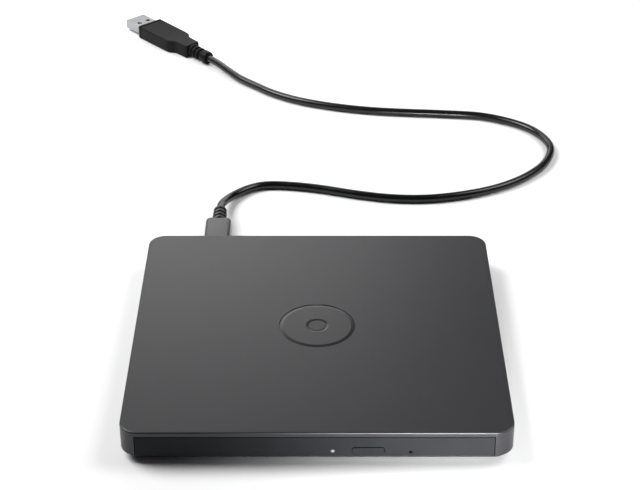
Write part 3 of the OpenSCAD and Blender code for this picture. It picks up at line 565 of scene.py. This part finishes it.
def rib_tree() -> RuleTree:
    """Builds rings with rounded rims in a row along +X, each a little smaller than the last.

    Returns:
        The tree, whose inputs are the ribs' count and pitch, their size and how much each one shrinks.
    """
    rule = RuleTree("relief_ribs", {
        "Count": "Int", "Pitch": "Float", "Radius": "Float",
        "Thickness": "Float", "Depth": "Float", "Shrink": "Float"})
    half_depth = rule.times(rule["Depth"], 0.5)
    ring = rule.add("GeometryNodeCurvePrimitiveCircle", {
        "Resolution": 48, "Radius": rule.times(rule["Radius"], half_depth, "SUBTRACT")})
    rim = rule.add("GeometryNodeCurvePrimitiveQuadrilateral", {
        "Width": rule["Depth"], "Height": rule["Thickness"]})
    soft = rule.add("GeometryNodeFilletCurve", {
        "Curve": rim.outputs[0], "Radius": rule.times(rule["Thickness"], 0.35), "Count": 4}, mode="POLY")
    solid = rule.add("GeometryNodeCurveToMesh", {"Curve": ring.outputs[0], "Profile Curve": soft.outputs[0]})
    turned = rule.add("GeometryNodeTransform", {"Geometry": solid.outputs[0], "Rotation": (0.0, math.pi / 2, 0.0)})
    row = rule.add("GeometryNodeMeshLine", {
        "Count": rule["Count"], "Offset": rule.along(x=rule["Pitch"])})
    index = rule.add("GeometryNodeInputIndex").outputs[0]
    size = rule.times(1.0, rule.times(index, rule["Shrink"]), "SUBTRACT")
    placed = rule.add("GeometryNodeInstanceOnPoints", {
        "Points": row.outputs[0], "Instance": turned.outputs[0], "Scale": rule.along(1.0, size, size)})
    rule.close(placed.outputs[0])
    return rule


def screw_tree() -> RuleTree:
    """Builds a cross-recessed screw on every point, with its head below the point and its shaft along +Z.

    Returns:
        The tree, whose inputs are the sizes of head and shaft and the screws' turn.
    """
    rule = RuleTree("recessed_screws", {
        "Head Radius": "Float", "Head Height": "Float", "Shaft Radius": "Float",
        "Shaft Length": "Float", "Turn": "Rotation"})
    head_r, head_h = rule["Head Radius"], rule["Head Height"]
    lower = rule.add("GeometryNodeMeshCone", {
        "Vertices": 40, "Radius Top": head_r, "Radius Bottom": rule.times(head_r, 0.86),
        "Depth": rule.times(head_h, 0.4)})
    upper = rule.add("GeometryNodeMeshCylinder", {"Vertices": 40, "Radius": head_r, "Depth": rule.times(head_h, 0.6)})
    stem = rule.add("GeometryNodeMeshCylinder", {
        "Vertices": 24, "Radius": rule["Shaft Radius"], "Depth": rule["Shaft Length"]})
    head = rule.add("GeometryNodeMeshBoolean", {}, operation="UNION")
    parts = ((lower, head_h, -1.0), (upper, head_h, -0.3), (stem, rule["Shaft Length"], 0.5))
    for part, height, share in parts:
        rule.tree.links.new(rule.moved(part, rule.times(height, share)), head.inputs[1])
    bars = rule.add("GeometryNodeJoinGeometry")
    for wide, deep in ((1.3, 0.26), (0.26, 1.3)):
        bar = rule.add("GeometryNodeMeshCube", {
            "Size": rule.along(rule.times(head_r, wide), rule.times(head_r, deep), head_h)})
        rule.tree.links.new(rule.moved(bar, rule.times(head_h, -1.0)), bars.inputs[0])
    cut = rule.add("GeometryNodeMeshBoolean", {0: head.outputs[0], 1: bars.outputs[0]}, operation="DIFFERENCE")
    placed = rule.add("GeometryNodeInstanceOnPoints", {
        "Points": rule["Geometry"], "Instance": cut.outputs[0], "Rotation": rule["Turn"]})
    rule.close(placed.outputs[0])
    return rule


def strip_tree() -> RuleTree:
    """Builds a row of flat contact strips along +Y.

    Returns:
        The tree, whose inputs are the strips' count, pitch and size.
    """
    rule = RuleTree("contact_row", {
        "Count": "Int", "Pitch": "Float", "Size": "Vector"})
    strip = rule.add("GeometryNodeMeshCube", {"Size": rule["Size"]})
    row = rule.add("GeometryNodeMeshLine", {
        "Count": rule["Count"], "Offset": rule.along(y=rule["Pitch"])})
    placed = rule.add("GeometryNodeInstanceOnPoints", {"Points": row.outputs[0], "Instance": strip.outputs[0]})
    rule.close(placed.outputs[0])
    return rule


def helix_tree() -> RuleTree:
    """Builds round wire wound along +Z, for springs and threads.

    Returns:
        The tree, whose inputs are the turns, radius and length of the winding and the wire's radius.
    """
    rule = RuleTree("wound_wire", {
        "Turns": "Float", "Radius": "Float", "Length": "Float",
        "Wire": "Float"})
    path = rule.add("GeometryNodeCurveSpiral", {
        "Resolution": 28, "Rotations": rule["Turns"], "Start Radius": rule["Radius"],
        "End Radius": rule["Radius"], "Height": rule["Length"]})
    wire = rule.add("GeometryNodeCurvePrimitiveCircle", {"Resolution": 8, "Radius": rule["Wire"]})
    solid = rule.add("GeometryNodeCurveToMesh", {
        "Curve": path.outputs[0], "Profile Curve": wire.outputs[0], "Fill Caps": True})
    rule.close(solid.outputs[0])
    return rule


@dataclass
class Rules:
    """The drive's geometry trees, each built once."""

    ribs: RuleTree = field(default_factory=rib_tree)
    screws: RuleTree = field(default_factory=screw_tree)
    strips: RuleTree = field(default_factory=strip_tree)
    helix: RuleTree = field(default_factory=helix_tree)


# ---------------------------------------------------------------- the object's sub-assemblies


@dataclass
class Cable:
    """The USB cable: it drops from the small plug to the floor and runs in one open loop to the large plug."""

    diameter: float = 3.8 * MM
    steps: int = 7
    route: tuple[tuple[float, float, float], ...] = (
        (-43.7, 102, 7), (-43.7, 106, 6.6), (-43.2, 111, 5.4), (-41.6, 117, 3.8), (-38.2, 123.5, 2.6),
        (-32, 130, 2.1), (-24, 133.5, 2), (-12, 133, 2), (2, 130, 2), (18, 125, 2), (34, 121.5, 2), (50, 121, 2),
        (66, 124, 2), (82, 130, 2), (96, 139.5, 2), (107, 152, 2), (112.5, 165, 2), (112.5, 176, 2),
        (107, 188, 2), (97, 197, 2), (82, 204, 2), (64, 206.5, 2), (46, 208, 2), (28, 210, 2), (10, 214, 2),
        (-8, 220.5, 2), (-22, 229, 2), (-32, 238, 2.1), (-41, 246.5, 2.5), (-47.5, 254.5, 3.1),
        (-53, 262, 3.5), (-58.5, 268.5, 3.6))

    def path(self) -> list[Vector]:
        """Draws a smooth curve through the route.

        Returns:
            Close points on it, in metres.
        """
        knots = [Vector(point) * MM for point in self.route]
        last = len(knots) - 1
        points = []
        for i in range(last):
            a, b, c, d = knots[max(i - 1, 0)], knots[i], knots[i + 1], knots[min(i + 2, last)]
            for step in range(self.steps):
                t = step / self.steps
                points.append(0.5 * (2 * b + (c - a) * t + (2 * a - 5 * b + 4 * c - d) * t ** 2
                                     + (3 * b - a - 3 * c + d) * t ** 3))
        return points + [knots[last]]

    def build(self) -> Piece:
        """Makes the cable as a curve of one open spline and returns it."""
        points = self.path()
        curve = bpy.data.curves.new("usb_cable_jacket", "CURVE")
        curve.dimensions = "3D"
        curve.bevel_depth, curve.bevel_resolution, curve.use_fill_caps = self.diameter / 2, 7, True
        line = curve.splines.new("POLY")
        line.points.add(len(points) - 1)
        for at, point in zip(line.points, points):
            at.co = (*point, 1.0)
        line.use_smooth = True
        jacket = bpy.data.objects.new("usb_cable_jacket", curve)
        bpy.context.scene.collection.objects.link(jacket)
        return settle(jacket, "usb_cable", JACKET_PVC, ["usb_cable"])

    def declare(self, jacket: Piece, plugs: Sequence[Piece]) -> None:
        """Does nothing with the cable or its plugs.

        Args:
            jacket: the cable; not used.
            plugs: the pieces at its two ends; not used.
        """


@dataclass
class SmallPlug:
    """The plug in the port: a moulded grip, a ribbed relief behind it and the metal shell in the port."""

    grip_w: float = 11.2
    grip_h: float = 8.0
    grip_l: float = 21.0
    relief_l: float = 12.0
    corner_r: float = 1.5
    near_round: float = 0.5
    groove: tuple[float, float, float] = (3.0, 3.7, 0.22)
    far_round: float = 2.6
    far_drop: float = 1.3
    rib_count: int = 4
    rib_pitch: float = 3.0
    rib_radius: float = 3.35

    def place(self) -> Matrix:
        """Returns the matrix from the plug's frame, +X away from the case, to the model."""
        low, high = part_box("micro_plug_moulding")
        mouth = Vector(((low.x + high.x) / 2, low.y, (low.z + high.z) / 2))
        return Matrix.Translation(mouth) @ Matrix.Rotation(math.pi / 2, 4, "Z") @ Matrix.Scale(MM, 4)

    def grip_stations(self) -> list[Station]:
        """Returns the grip's sections: a small round at the port, a large one at the cable."""
        def at(along: float, narrower: float, lower: float) -> Station:
            """Returns the section at one place, narrower and lower than the grip on each side."""
            return Station(along, self.grip_w - 2 * narrower, self.grip_h - 2 * lower, self.corner_r)

        def arc(degrees: float) -> tuple[float, float]:
            """Returns how far a quarter round still is from its end, along it and across it."""
            return 1 - math.sin(math.radians(degrees)), 1 - math.cos(math.radians(degrees))
        near = [at(self.near_round * across, self.near_round * left, self.near_round * left)
                for left, across in map(arc, (0, 30, 60, 90))]
        start, end, deep = self.groove
        groove = [at(start, 0, 0), at(start + 0.15, deep, deep), at(end - 0.15, deep, deep), at(end, 0, 0)]
        far = [at(self.grip_l - self.far_round * left, self.far_round * across, self.far_drop * across)
               for left, across in map(arc, range(0, 91, 15))]
        return near + groove + far

    def relief_stations(self) -> list[Station]:
        """Returns the core of the relief, which tapers towards the cable and ends in a round lip."""
        start, end = self.grip_l - 0.6, self.grip_l + self.relief_l
        sizes = ((start, 5.6), (start + 4, 5.3), (end - 2.4, 4.9), (end - 0.5, 4.8), (end - 0.12, 4.55), (end, 4.1))
        return [Station(along, size, size, size / 2) for along, size in sizes]

    def build(self, rules: Rules) -> list[Piece]:
        """Makes and dresses the plug.

        Args:
            rules: the geometry trees.

        Returns:
            Its pieces.
        """
        place = self.place()
        grip = moulding("small_plug_grip", self.grip_stations(), place)
        relief = moulding("small_plug_relief", self.relief_stations(), place)
        ribs = rules.ribs.bake("small_plug_ribs", {
            "Count": self.rib_count, "Pitch": self.rib_pitch, "Radius": self.rib_radius, "Thickness": 1.7,
            "Depth": 1.6, "Shrink": 0.035, "Finish": PLUG_PVC.material()},
            place @ Matrix.Translation((self.grip_l + 1.55, 0, 0)))
        settle(grip, "micro_plug_moulding", PLUG_PVC, ["micro_plug_moulding"])
        for piece in (relief, ribs):
            settle(piece, "micro_plug_moulding", PLUG_PVC)
        shell = refined("micro_plug_shell", NICKEL, 0.1)
        return [grip, relief, ribs, shell]


@dataclass
class LargePlug:
    """The plug at the far end: ribbed relief, neck and grip in one moulding, and a steel shell with a tongue."""

    turn: float = 132.0
    neck_w: float = 9.4
    grip_w: float = 15.4
    height: float = 7.2
    corner_r: float = 0.9
    relief_l: float = 14.0
    neck_end: float = 23.5
    grip_end: float = 52.5
    contact_pitch: float = 2.25

    def place(self, cable: Cable) -> Matrix:
        """Returns the matrix from the plug's frame, +X towards its tip, to the model."""
        end = Vector(cable.route[-1]) * MM
        return Matrix.Translation(end) @ Matrix.Rotation(math.radians(self.turn), 4, "Z") @ Matrix.Scale(MM, 4)

    def grip_stations(self) -> list[Station]:
        """Returns the moulding's sections from the relief to the shell."""
        # Along from the place named, then how much narrower and lower than full size
        neck = ((-0.1, 1.8, 1.4), (0, 1.2, 0.7), (0.4, 0.4, 0.2), (1, 0, 0), (5, -0.2, 0), (8.8, -0.6, 0),
                (9.5, -1.2, 0))
        swell = ((1.1, 3.2, 0), (2.2, 1.6, 0), (3.5, 0.6, 0), (6, 0.3, 0))
        end = ((-12.5, 0.1, 0), (-2.4, 0, 0), (-2.3, 0.5, 0.5), (-1.8, 0.5, 0.5), (-1.7, 0, 0), (-0.4, 0, 0),
               (-0.1, 0.2, 0.2), (0, 0.6, 0.6))
        return [Station(place + along, width - narrower, self.height - lower, self.corner_r)
                for place, width, rows in ((self.relief_l, self.neck_w, neck), (self.neck_end, self.grip_w, swell),
                                           (self.grip_end, self.grip_w, end))
                for along, narrower, lower in rows]

    def relief_stations(self) -> list[Station]:
        """Returns the relief's core, with the round barrel at the cable end."""
        rows = ((0.0, 5.4), (0.12, 6.2), (0.5, 6.7), (1.0, 6.8), (4.0, 6.8), (4.6, 6.6), (5.0, 6.0), (5.2, 5.0),
                (self.relief_l + 0.4, 5.2))
        return [Station(along, size, size, size / 2) for along, size in rows]

    def build(self, rules: Rules, cable: Cable) -> list[Piece]:
        """Makes and dresses the plug.

        Args:
            rules: the geometry trees.
            cable: the cable that it ends.

        Returns:
            Its pieces.
        """
        place = self.place(cable)
        grip = moulding("large_plug_grip", self.grip_stations(), place)
        relief = moulding("large_plug_relief", self.relief_stations(), place)
        # The large plug's ribs, grip and relief take the darkened copy of the plug PVC, painted shade over the whole
        # moulding
        ribs = rules.ribs.bake("large_plug_ribs", {
            "Count": 3, "Pitch": 2.9, "Radius": 3.4, "Thickness": 1.7, "Depth": 1.3, "Shrink": 0.0,
            "Finish": PLUG_PVC_PAINTED_SHADE.material()}, place @ Matrix.Translation((7.3, 0, 0)))
        settle(grip, "usb_a_moulding", PLUG_PVC_PAINTED_SHADE, ["usb_a_moulding"])
        for piece in (relief, ribs):
            settle(piece, "usb_a_moulding", PLUG_PVC_PAINTED_SHADE)
        contacts = rules.strips.bake("large_plug_contacts", {
            "Count": 4, "Pitch": self.contact_pitch, "Size": (8.0, 1.0, 0.12), "Finish": GOLD.material()},
            place @ Matrix.Translation((self.grip_end + 8.6, -1.5 * self.contact_pitch, -0.17)))
        settle(contacts, "usb_a_tongue", None)
        return [grip, relief, ribs, contacts, refined("usb_a_shell", SATIN_NICKEL, 0.12, 2),
                refined("usb_a_tongue", ACETAL, 0.1)]


def clusters(node: str) -> list[tuple[Vector, Vector]]:
    """Finds the separate solids of a CAD node.

    Args:
        node: the CAD node.

    Returns:
        The lowest and highest corner of each, in order of place.
    """
    shape = merged(node)
    shape.verts.ensure_lookup_table()
    left, boxes = set(range(len(shape.verts))), []
    while left:
        front = [left.pop()]
        found = []
        while front:
            vert = shape.verts[front.pop()]
            found.append(vert.co.copy())
            for edge in vert.link_edges:
                other = edge.other_vert(vert).index
                if other in left:
                    left.discard(other)
                    front.append(other)
        boxes.append((Vector([min(p[i] for p in found) for i in range(3)]),
                      Vector([max(p[i] for p in found) for i in range(3)])))
    shape.free()
    return sorted(boxes, key=lambda pair: tuple(pair[0]))


@dataclass(frozen=True)
class ScrewRow:
    """A CAD node of screws: their sizes in millimetres, their finish and the line that they lie along."""

    node: str
    shaft_r: float
    head_r: float
    head_h: float
    finish: Finish
    axis: tuple[int, int, int] = (0, 0, 1)


def recessed(rules: Rules, row: ScrewRow) -> None:
    """Replaces a CAD node of plain screws by recessed ones.

    Screws along Z all point up. Screws along X point inwards from both sides.

    Args:
        rules: the geometry trees.
        row: the screws.
    """
    along = row.axis.index(1)
    for sign in (1, -1):
        heads = []
        for low, high in clusters(row.node):
            middle = (low + high) / 2
            head_is_low = along == 2 or middle[along] < 0
            if head_is_low == (sign > 0):
                middle[along] = low[along] + row.head_h * MM if sign > 0 else high[along] - row.head_h * MM
                heads.append(middle / MM)
                length = (high[along] - low[along]) / MM - row.head_h
        if not heads:
            continue
        turn = Vector((0, 0, 1)).rotation_difference(Vector(row.axis) * sign).to_euler()
        piece = rules.screws.bake(f"{row.node}_recessed_{'a' if sign > 0 else 'b'}", {
            "Head Radius": row.head_r, "Head Height": row.head_h, "Shaft Radius": row.shaft_r,
            "Shaft Length": length,
            "Turn": turn, "Finish": row.finish.material()}, Matrix.Scale(MM, 4), heads)
        settle(piece, row.node, row.finish, [row.node])


class Metal(Enum):
    """What a visible steel part of the drive is made of."""

    SHEET = ZINC_SHEET
    GROUND = GROUND_STEEL
    PLATED = NICKEL


@dataclass(frozen=True)
class PieceSpec:
    """A CAD node that keeps its shape: its finish, and how far, in how many faces and from what angle it is rounded."""

    node: str
    finish: Finish
    edge_mm: float = 0.12
    segments: int = 2
    angle: float = 32.0


@dataclass
class Assembly:
    """A sub-assembly: the CAD nodes that keep their shape, and the screws."""

    specs: tuple[PieceSpec, ...] = ()
    screws: tuple[ScrewRow, ...] = ()

    def build(self, rules: Rules) -> None:
        """Makes and dresses the pieces and screws.

        Args:
            rules: the geometry trees.
        """
        for spec in self.specs:
            refined(spec.node, spec.finish, spec.edge_mm, spec.segments, spec.angle)
        for row in self.screws:
            recessed(rules, row)


@dataclass
class Enclosure(Assembly):
    """The case: cover, pictogram inlay, pan, feet, label, pads and the screws that join them."""

    specs: tuple[PieceSpec, ...] = (
        PieceSpec("top_cover", CASE_PAINT, 0.16, 3), PieceSpec("emblem_inlay", INLAY_GLOSS, 0.05, 2, 6.0),
        PieceSpec("bottom_cover", PAN_ABS, 0.16), PieceSpec("rubber_feet", RUBBER, 0.3, 3),
        PieceSpec("rating_label", LABEL_FILM, 0.0), PieceSpec("foam_pads", FOAM, 0.1))
    screws: tuple[ScrewRow, ...] = (ScrewRow("case_screws", 0.7, 1.5, 0.6, BLACK_STEEL),)


@dataclass
class FrontStrip(Assembly):
    """The tray's front strip with its button, lamp window and release slider."""

    specs: tuple[PieceSpec, ...] = (
        # The bezel and button take the paler copy of the case paint, painted light on the front face
        PieceSpec("tray_bezel", FRONT_PAINT_PAINTED_LIGHT, 0.22, 3), PieceSpec("eject_button", FRONT_PAINT_PAINTED_LIGHT, 0.34, 4),
        PieceSpec("light_pipe", ACRYLIC, 0.15), PieceSpec("release_slider", ACETAL, 0.15))


@dataclass
class DriveShell(Assembly):
    """The bare drive's fixed parts: chassis, top plate, rail guides, pin and the boards at the rear."""

    specs: tuple[PieceSpec, ...] = (
        PieceSpec("drive_chassis", Metal.SHEET.value, 0.12), PieceSpec("drive_top_plate", Metal.SHEET.value, 0.12),
        PieceSpec("left_rail_guide", NYLON_BLACK), PieceSpec("right_rail_guide", NYLON_BLACK),
        PieceSpec("latch_pin", Metal.PLATED.value), PieceSpec("rear_board", SOLDER_MASK, 0.05),
        PieceSpec("sata_plug", NYLON_BLACK), PieceSpec("sata_receptacle", NYLON_BLACK),
        PieceSpec("bridge_board", SOLDER_MASK, 0.05), PieceSpec("bridge_parts", EPOXY, 0.08),
        PieceSpec("usb_receptacle", Metal.PLATED.value, 0.06), PieceSpec("left_rail", Metal.GROUND.value),
        PieceSpec("right_rail", Metal.GROUND.value))
    screws: tuple[ScrewRow, ...] = (ScrewRow("side_screws", 0.6, 1.1, 0.4, BLACK_STEEL, (1, 0, 0)),)


@dataclass
class FlatCable:
    """The flat cable between the rear board and the tray: its tray end rises a little towards the front."""

    strip_from: float = 30.0
    strip_to: float = -18.0
    left: float = 26.0
    right: float = 42.0
    fixed_left: float = -26.0
    rear_right: float = -10.0
    fold: float = 9.0
    rise: float = 0.5
    thickness: float = 0.12
    cells: int = 48

    def build(self) -> Piece:
        """Makes the cable, bends it between case and tray, and returns it."""
        low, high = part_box("flex_cable")
        shape = bmesh.new()
        floor = low.z / MM
        step = (self.strip_to - self.strip_from) / self.cells
        for index in range(self.cells):
            ends = []
            for y in (self.strip_from + step * index, self.strip_from + step * (index + 1)):
                share = min(1.0, (self.strip_from - y) / (0.5 * (self.strip_from - self.strip_to)))
                ends.append((y, floor + self.rise * share * share * (3 - 2 * share)))
            self.slab(shape, self.left, self.right, ends)
        rear = high.y / MM
        corner = self.strip_from + self.fold
        self.slab(shape, self.fixed_left, self.right, [(corner, floor), (self.strip_from, floor)])
        self.slab(shape, self.fixed_left, self.rear_right, [(rear, floor), (corner, floor)])
        bmesh.ops.remove_doubles(shape, verts=shape.verts, dist=0.001)
        inner = [face for face in shape.faces if all(len(edge.link_faces) > 2 for edge in face.edges)]
        bmesh.ops.delete(shape, geom=inner, context="FACES_ONLY")
        shape.transform(Matrix.Scale(MM, 4))
        cable = new_piece("flat_cable", shape)
        cable.data.materials.append(POLYIMIDE.material())
        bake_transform(cable)
        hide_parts("flex_cable")
        log.info("piece %s between case and tray", cable.name)
        return cable

    def slab(self, shape: Shape, left: float, right: float, ends: Sequence[tuple[float, float]]) -> None:
        """Adds a thin slab between two lines across the cable.

        Args:
            shape: the bmesh that gets it.
            left: its left edge.
            right: its right edge.
            ends: (y, z) of its underside at its two ends.
        """
        corners = [shape.verts.new((x, y, z + up))
                   for y, z in ends for up in (0, self.thickness) for x in (left, right)]
        for face in ((0, 1, 3, 2), (4, 6, 7, 5), (0, 4, 5, 1), (2, 3, 7, 6), (0, 2, 6, 4), (1, 5, 7, 3)):
            shape.faces.new([corners[i] for i in face])


@dataclass
class Tray(Assembly):
    """The tray and what rides in it, apart from the mechanism."""

    specs: tuple[PieceSpec, ...] = (
        PieceSpec("tray", TRAY_ABS, 0.18), PieceSpec("tray_shield", Metal.SHEET.value, 0.05),
        PieceSpec("tray_board", SOLDER_MASK, 0.05), PieceSpec("tray_board_parts", EPOXY, 0.1),
        PieceSpec("tact_switch", NYLON_BLACK), PieceSpec("latch_solenoid", COIL_COPPER, 0.2),
        PieceSpec("latch_hook", ACETAL), PieceSpec("solenoid_plunger", Metal.GROUND.value),
        PieceSpec("eject_plunger", ACETAL))
    screws: tuple[ScrewRow, ...] = (ScrewRow("tray_screws", 0.5, 1.1, 0.35, BLACK_STEEL),)
    spring_turns: float = 8.0
    wire_r: float = 0.25

    def build(self, rules: Rules) -> None:
        """Makes and dresses the tray.

        Args:
            rules: the geometry trees.
        """
        super().build(rules)
        self.spring(rules)

    def spring(self, rules: Rules) -> Piece:
        """Winds the ejector's spring between the tray and the plunger.

        Args:
            rules: the geometry trees.

        Returns:
            The spring.
        """
        low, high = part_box("eject_spring")
        spring = rules.helix.bake("eject_spring_wire", {
            "Turns": self.spring_turns, "Radius": (high.x - low.x) / 2 / MM - self.wire_r,
            "Length": (high.y - low.y) / MM - 2 * self.wire_r, "Wire": self.wire_r,
            "Finish": Metal.PLATED.value.material()},
            Matrix.Translation(((low.x + high.x) / 2, low.y + self.wire_r * MM, (low.z + high.z) / 2))
            @ Matrix.Rotation(-math.pi / 2, 4, "X") @ Matrix.Scale(MM, 4))
        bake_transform(spring)
        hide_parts("eject_spring")
        log.info("piece %s between tray and eject_plunger", spring.name)
        return spring


@dataclass
class Mechanism(Assembly):
    """Spindle, laser sled and their frame, which show in the tray's opening."""

    specs: tuple[PieceSpec, ...] = (
        PieceSpec("traverse_frame", Metal.SHEET.value, 0.08), PieceSpec("dampers", RUBBER, 0.12),
        PieceSpec("guide_rods", Metal.GROUND.value, 0.08), PieceSpec("feed_motor", Metal.SHEET.value, 0.3),
        PieceSpec("spindle_stator", COIL_COPPER, 0.0), PieceSpec("rotor", Metal.PLATED.value, 0.2),
        PieceSpec("turntable", NYLON_BLACK, 0.15), PieceSpec("turntable_mat", RUBBER, 0.1),
        PieceSpec("clamp_pawl_a", ACETAL, 0.12), PieceSpec("clamp_pawl_b", ACETAL, 0.12),
        PieceSpec("clamp_pawl_c", ACETAL, 0.12), PieceSpec("sled_body", DIE_CAST, 0.15),
        PieceSpec("laser_package", GOLD, 0.12), PieceSpec("lens_holder", NYLON_BLACK, 0.12))
    screws: tuple[ScrewRow, ...] = (ScrewRow("damper_screws", 0.5, 1.2, 0.4, Metal.PLATED.value),)
    disc: tuple[float, float] = (-0.85, -4.0)
    turn: float = 225.0
    thread_from: float = 22.0
    thread_turns: float = 12.4
    thread_pitch: float = 3.0
    thread_r: float = 0.78
    thread_wire: float = 0.22
    screw_v: float = 21.5
    screw_profile: tuple[tuple[float, float], ...] = (
        (0.4, 16.0), (0.5, 16.1), (0.5, 18.8), (0.8, 18.85), (0.8, 60.15), (0.5, 60.2), (0.5, 61.4), (0.4, 61.5))
    lens_rim_h: float = 0.6
    lens_dome_from: float = 0.75

    def build(self, rules: Rules) -> None:
        """Makes and dresses the mechanism.

        Args:
            rules: the geometry trees.
        """
        super().build(rules)
        self.lens()
        self.feed_screw(rules)

    def place(self) -> Matrix:
        """Returns the matrix from the mechanism's frame, +X along the laser's path, to the model."""
        middle = Matrix.Translation(Vector((*self.disc, 0)) * MM)
        return middle @ Matrix.Rotation(math.radians(self.turn), 4, "Z") @ Matrix.Scale(MM, 4)

    def turned(self, name: str, profile: Sequence[tuple[float, float]], place: Matrix, sides: int = 48) -> Piece:
        """Turns a profile about +Z.

        Args:
            name: the piece's name.
            profile: (radius, height) from the bottom to the top.
            place: from the profile's frame to the model's.
            sides: faces round the axis.

        Returns:
            The new piece.
        """
        shape = bmesh.new()
        rings = [[Vector((r * math.cos(2 * math.pi * i / sides), r * math.sin(2 * math.pi * i / sides), z))
                  for i in range(sides)] for r, z in profile]
        loft(shape, rings)
        shape.transform(place)
        return new_piece(name, shape, 50)

    def lens(self) -> None:
        """Turns the objective lens: a thin rim and a domed top."""
        low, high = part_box("lens")
        radius = (high.x - low.x) / 2 / MM
        base, top = low.z / MM, high.z / MM
        rim_top, dome_from = base + self.lens_rim_h, base + self.lens_dome_from
        dome = [(radius * 0.86 * math.cos(math.radians(a)), dome_from + (top - dome_from) * math.sin(math.radians(a)))
                for a in range(0, 86, 12)]
        profile = [(radius, base), (radius, rim_top), (radius * 0.9, rim_top + 0.12), *dome]
        middle = Matrix.Translation(((low.x + high.x) / 2, (low.y + high.y) / 2, 0)) @ Matrix.Scale(MM, 4)
        settle(self.turned("objective_lens", profile, middle), "lens", LENS_GLASS, ["lens"])

    def feed_screw(self, rules: Rules) -> None:
        """Turns the feed screw's core and winds its thread.

        Args:
            rules: the geometry trees.
        """
        low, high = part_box("lead_screw")
        axis_z = (low.z + high.z) / 2 / MM
        place = self.place() @ Matrix.Translation((0, self.screw_v, axis_z)) @ Matrix.Rotation(math.pi / 2, 4, "Y")
        core = self.turned("feed_screw_core", self.screw_profile, place, 24)
        settle(core, "lead_screw", Metal.PLATED.value, ["lead_screw"])
        thread = rules.helix.bake("feed_screw_thread", {
            "Turns": self.thread_turns, "Radius": self.thread_r, "Length": self.thread_turns * self.thread_pitch,
            "Wire": self.thread_wire, "Finish": Metal.PLATED.value.material()},
            place @ Matrix.Translation((0, 0, self.thread_from)))
        settle(thread, "lead_screw", None)


# ---------------------------------------------------------------- floor, light and camera


@dataclass(frozen=True)
class SoftBox:
    """A soft light: its place, what it looks at, its size, its power and how wide its grid lets it spread."""

    name: str
    at: tuple[float, float, float]
    aim: tuple[float, float, float]
    size: tuple[float, float]
    watts: float
    spread_deg: float = 180.0

    def build(self) -> None:
        """Hangs the light, which is itself out of the picture."""
        lamp = bpy.data.lights.new(self.name, "AREA")
        lamp.shape, lamp.size, lamp.size_y, lamp.energy = "RECTANGLE", *self.size, self.watts
        lamp.spread = math.radians(self.spread_deg)
        holder = bpy.data.objects.new(self.name, lamp)
        holder.visible_camera = False
        holder.location = self.at
        holder.rotation_euler = (Vector(self.aim) - Vector(self.at)).to_track_quat("-Z", "Y").to_euler()
        bpy.context.scene.collection.objects.link(holder)


@dataclass
class Studio:
    """A plain pale floor, soft studio light and the camera."""

    camera_at: tuple[float, float, float] = (0.0011, -0.54395, 0.3862)
    pitch_down: float = 31.62
    lens_mm: float = 93.6
    floor_size: float = 6.0
    floor_colour: tuple[float, float, float, float] = (0.9, 0.9, 0.905, 1)
    floor_roughness: float = 0.55
    floor_specular: float = 0.2
    room_strength: float = 0.05
    lights: tuple[SoftBox, ...] = (
        SoftBox("left_key", (-0.544, 0.198, 0.689), (0, 0.05, 0), (0.5, 0.5), 8.3),
        SoftBox("right_key", (0.544, 0.198, 0.689), (0, 0.05, 0), (0.5, 0.5), 4.2),
        SoftBox("rear_sheen", (-0.084, 0.6, 0.35), (0, 0.03, 0), (0.3, 0.15), 0.42),
        SoftBox("low_left_sheen", (-0.16, 0.42, 0.14), (-0.04, 0.05, 0.014), (0.25, 0.1), 0.17),
        SoftBox("low_rear_sheen", (0.109, 0.775, 0.166), (0, 0.02, 0), (0.35, 0.2), 0.42),
        SoftBox("front_grid", (0.062, -0.42, 0.06), (0.062, -0.069, 0.008), (0.05, 0.03), 0.13, 30.0))

    def camera(self) -> None:
        """Sets the camera up."""
        lens = bpy.data.cameras.new("studio_camera")
        lens.sensor_fit, lens.sensor_width, lens.lens = "HORIZONTAL", 36.0, self.lens_mm
        lens.clip_start, lens.clip_end = 0.02, 20.0
        camera = bpy.data.objects.new("studio_camera", lens)
        camera.location = self.camera_at
        camera.rotation_euler = (math.radians(90 - self.pitch_down), 0, 0)
        bpy.context.scene.collection.objects.link(camera)
        bpy.context.scene.camera = camera

    def floor(self) -> None:
        """Lays the floor."""
        shape = bmesh.new()
        bmesh.ops.create_grid(shape, x_segments=2, y_segments=2, size=self.floor_size / 2)
        floor = new_piece("studio_floor", shape)
        paint = bpy.data.materials.new("pale_floor")
        paint.use_nodes = True
        board = paint.node_tree.nodes["Principled BSDF"]
        board.inputs["Base Color"].default_value = self.floor_colour
        board.inputs["Roughness"].default_value = self.floor_roughness
        board.inputs["Specular IOR Level"].default_value = self.floor_specular
        floor.data.materials.append(paint)

    def light(self) -> None:
        """Hangs the softboxes and sets the room's own light."""
        world = bpy.data.worlds.new("pale_room")
        world.use_nodes = True
        room = world.node_tree.nodes["Background"]
        room.inputs["Color"].default_value = (1.0, 1.0, 1.0, 1)
        room.inputs["Strength"].default_value = self.room_strength
        bpy.context.scene.world = world
        for box in self.lights:
            box.build()
        bpy.context.scene.view_settings.view_transform = "Standard"

    def build(self) -> None:
        """Sets up floor and light; the camera is already there."""
        self.floor()
        self.light()


def main() -> None:
    """Builds the camera and cable first, then the plugs, the case, the drive and the studio."""
    logging.basicConfig(level=logging.INFO, format="%(message)s")
    studio, cable, rules = Studio(), Cable(), Rules()
    studio.camera()
    jacket = cable.build()
    plugs = SmallPlug().build(rules) + LargePlug().build(rules, cable)
    cable.declare(jacket, plugs)
    Enclosure().build(rules)
    FrontStrip().build(rules)
    DriveShell().build(rules)
    FlatCable().build()
    Tray().build(rules)
    Mechanism().build(rules)
    studio.build()


if __name__ == "__main__":
    main()
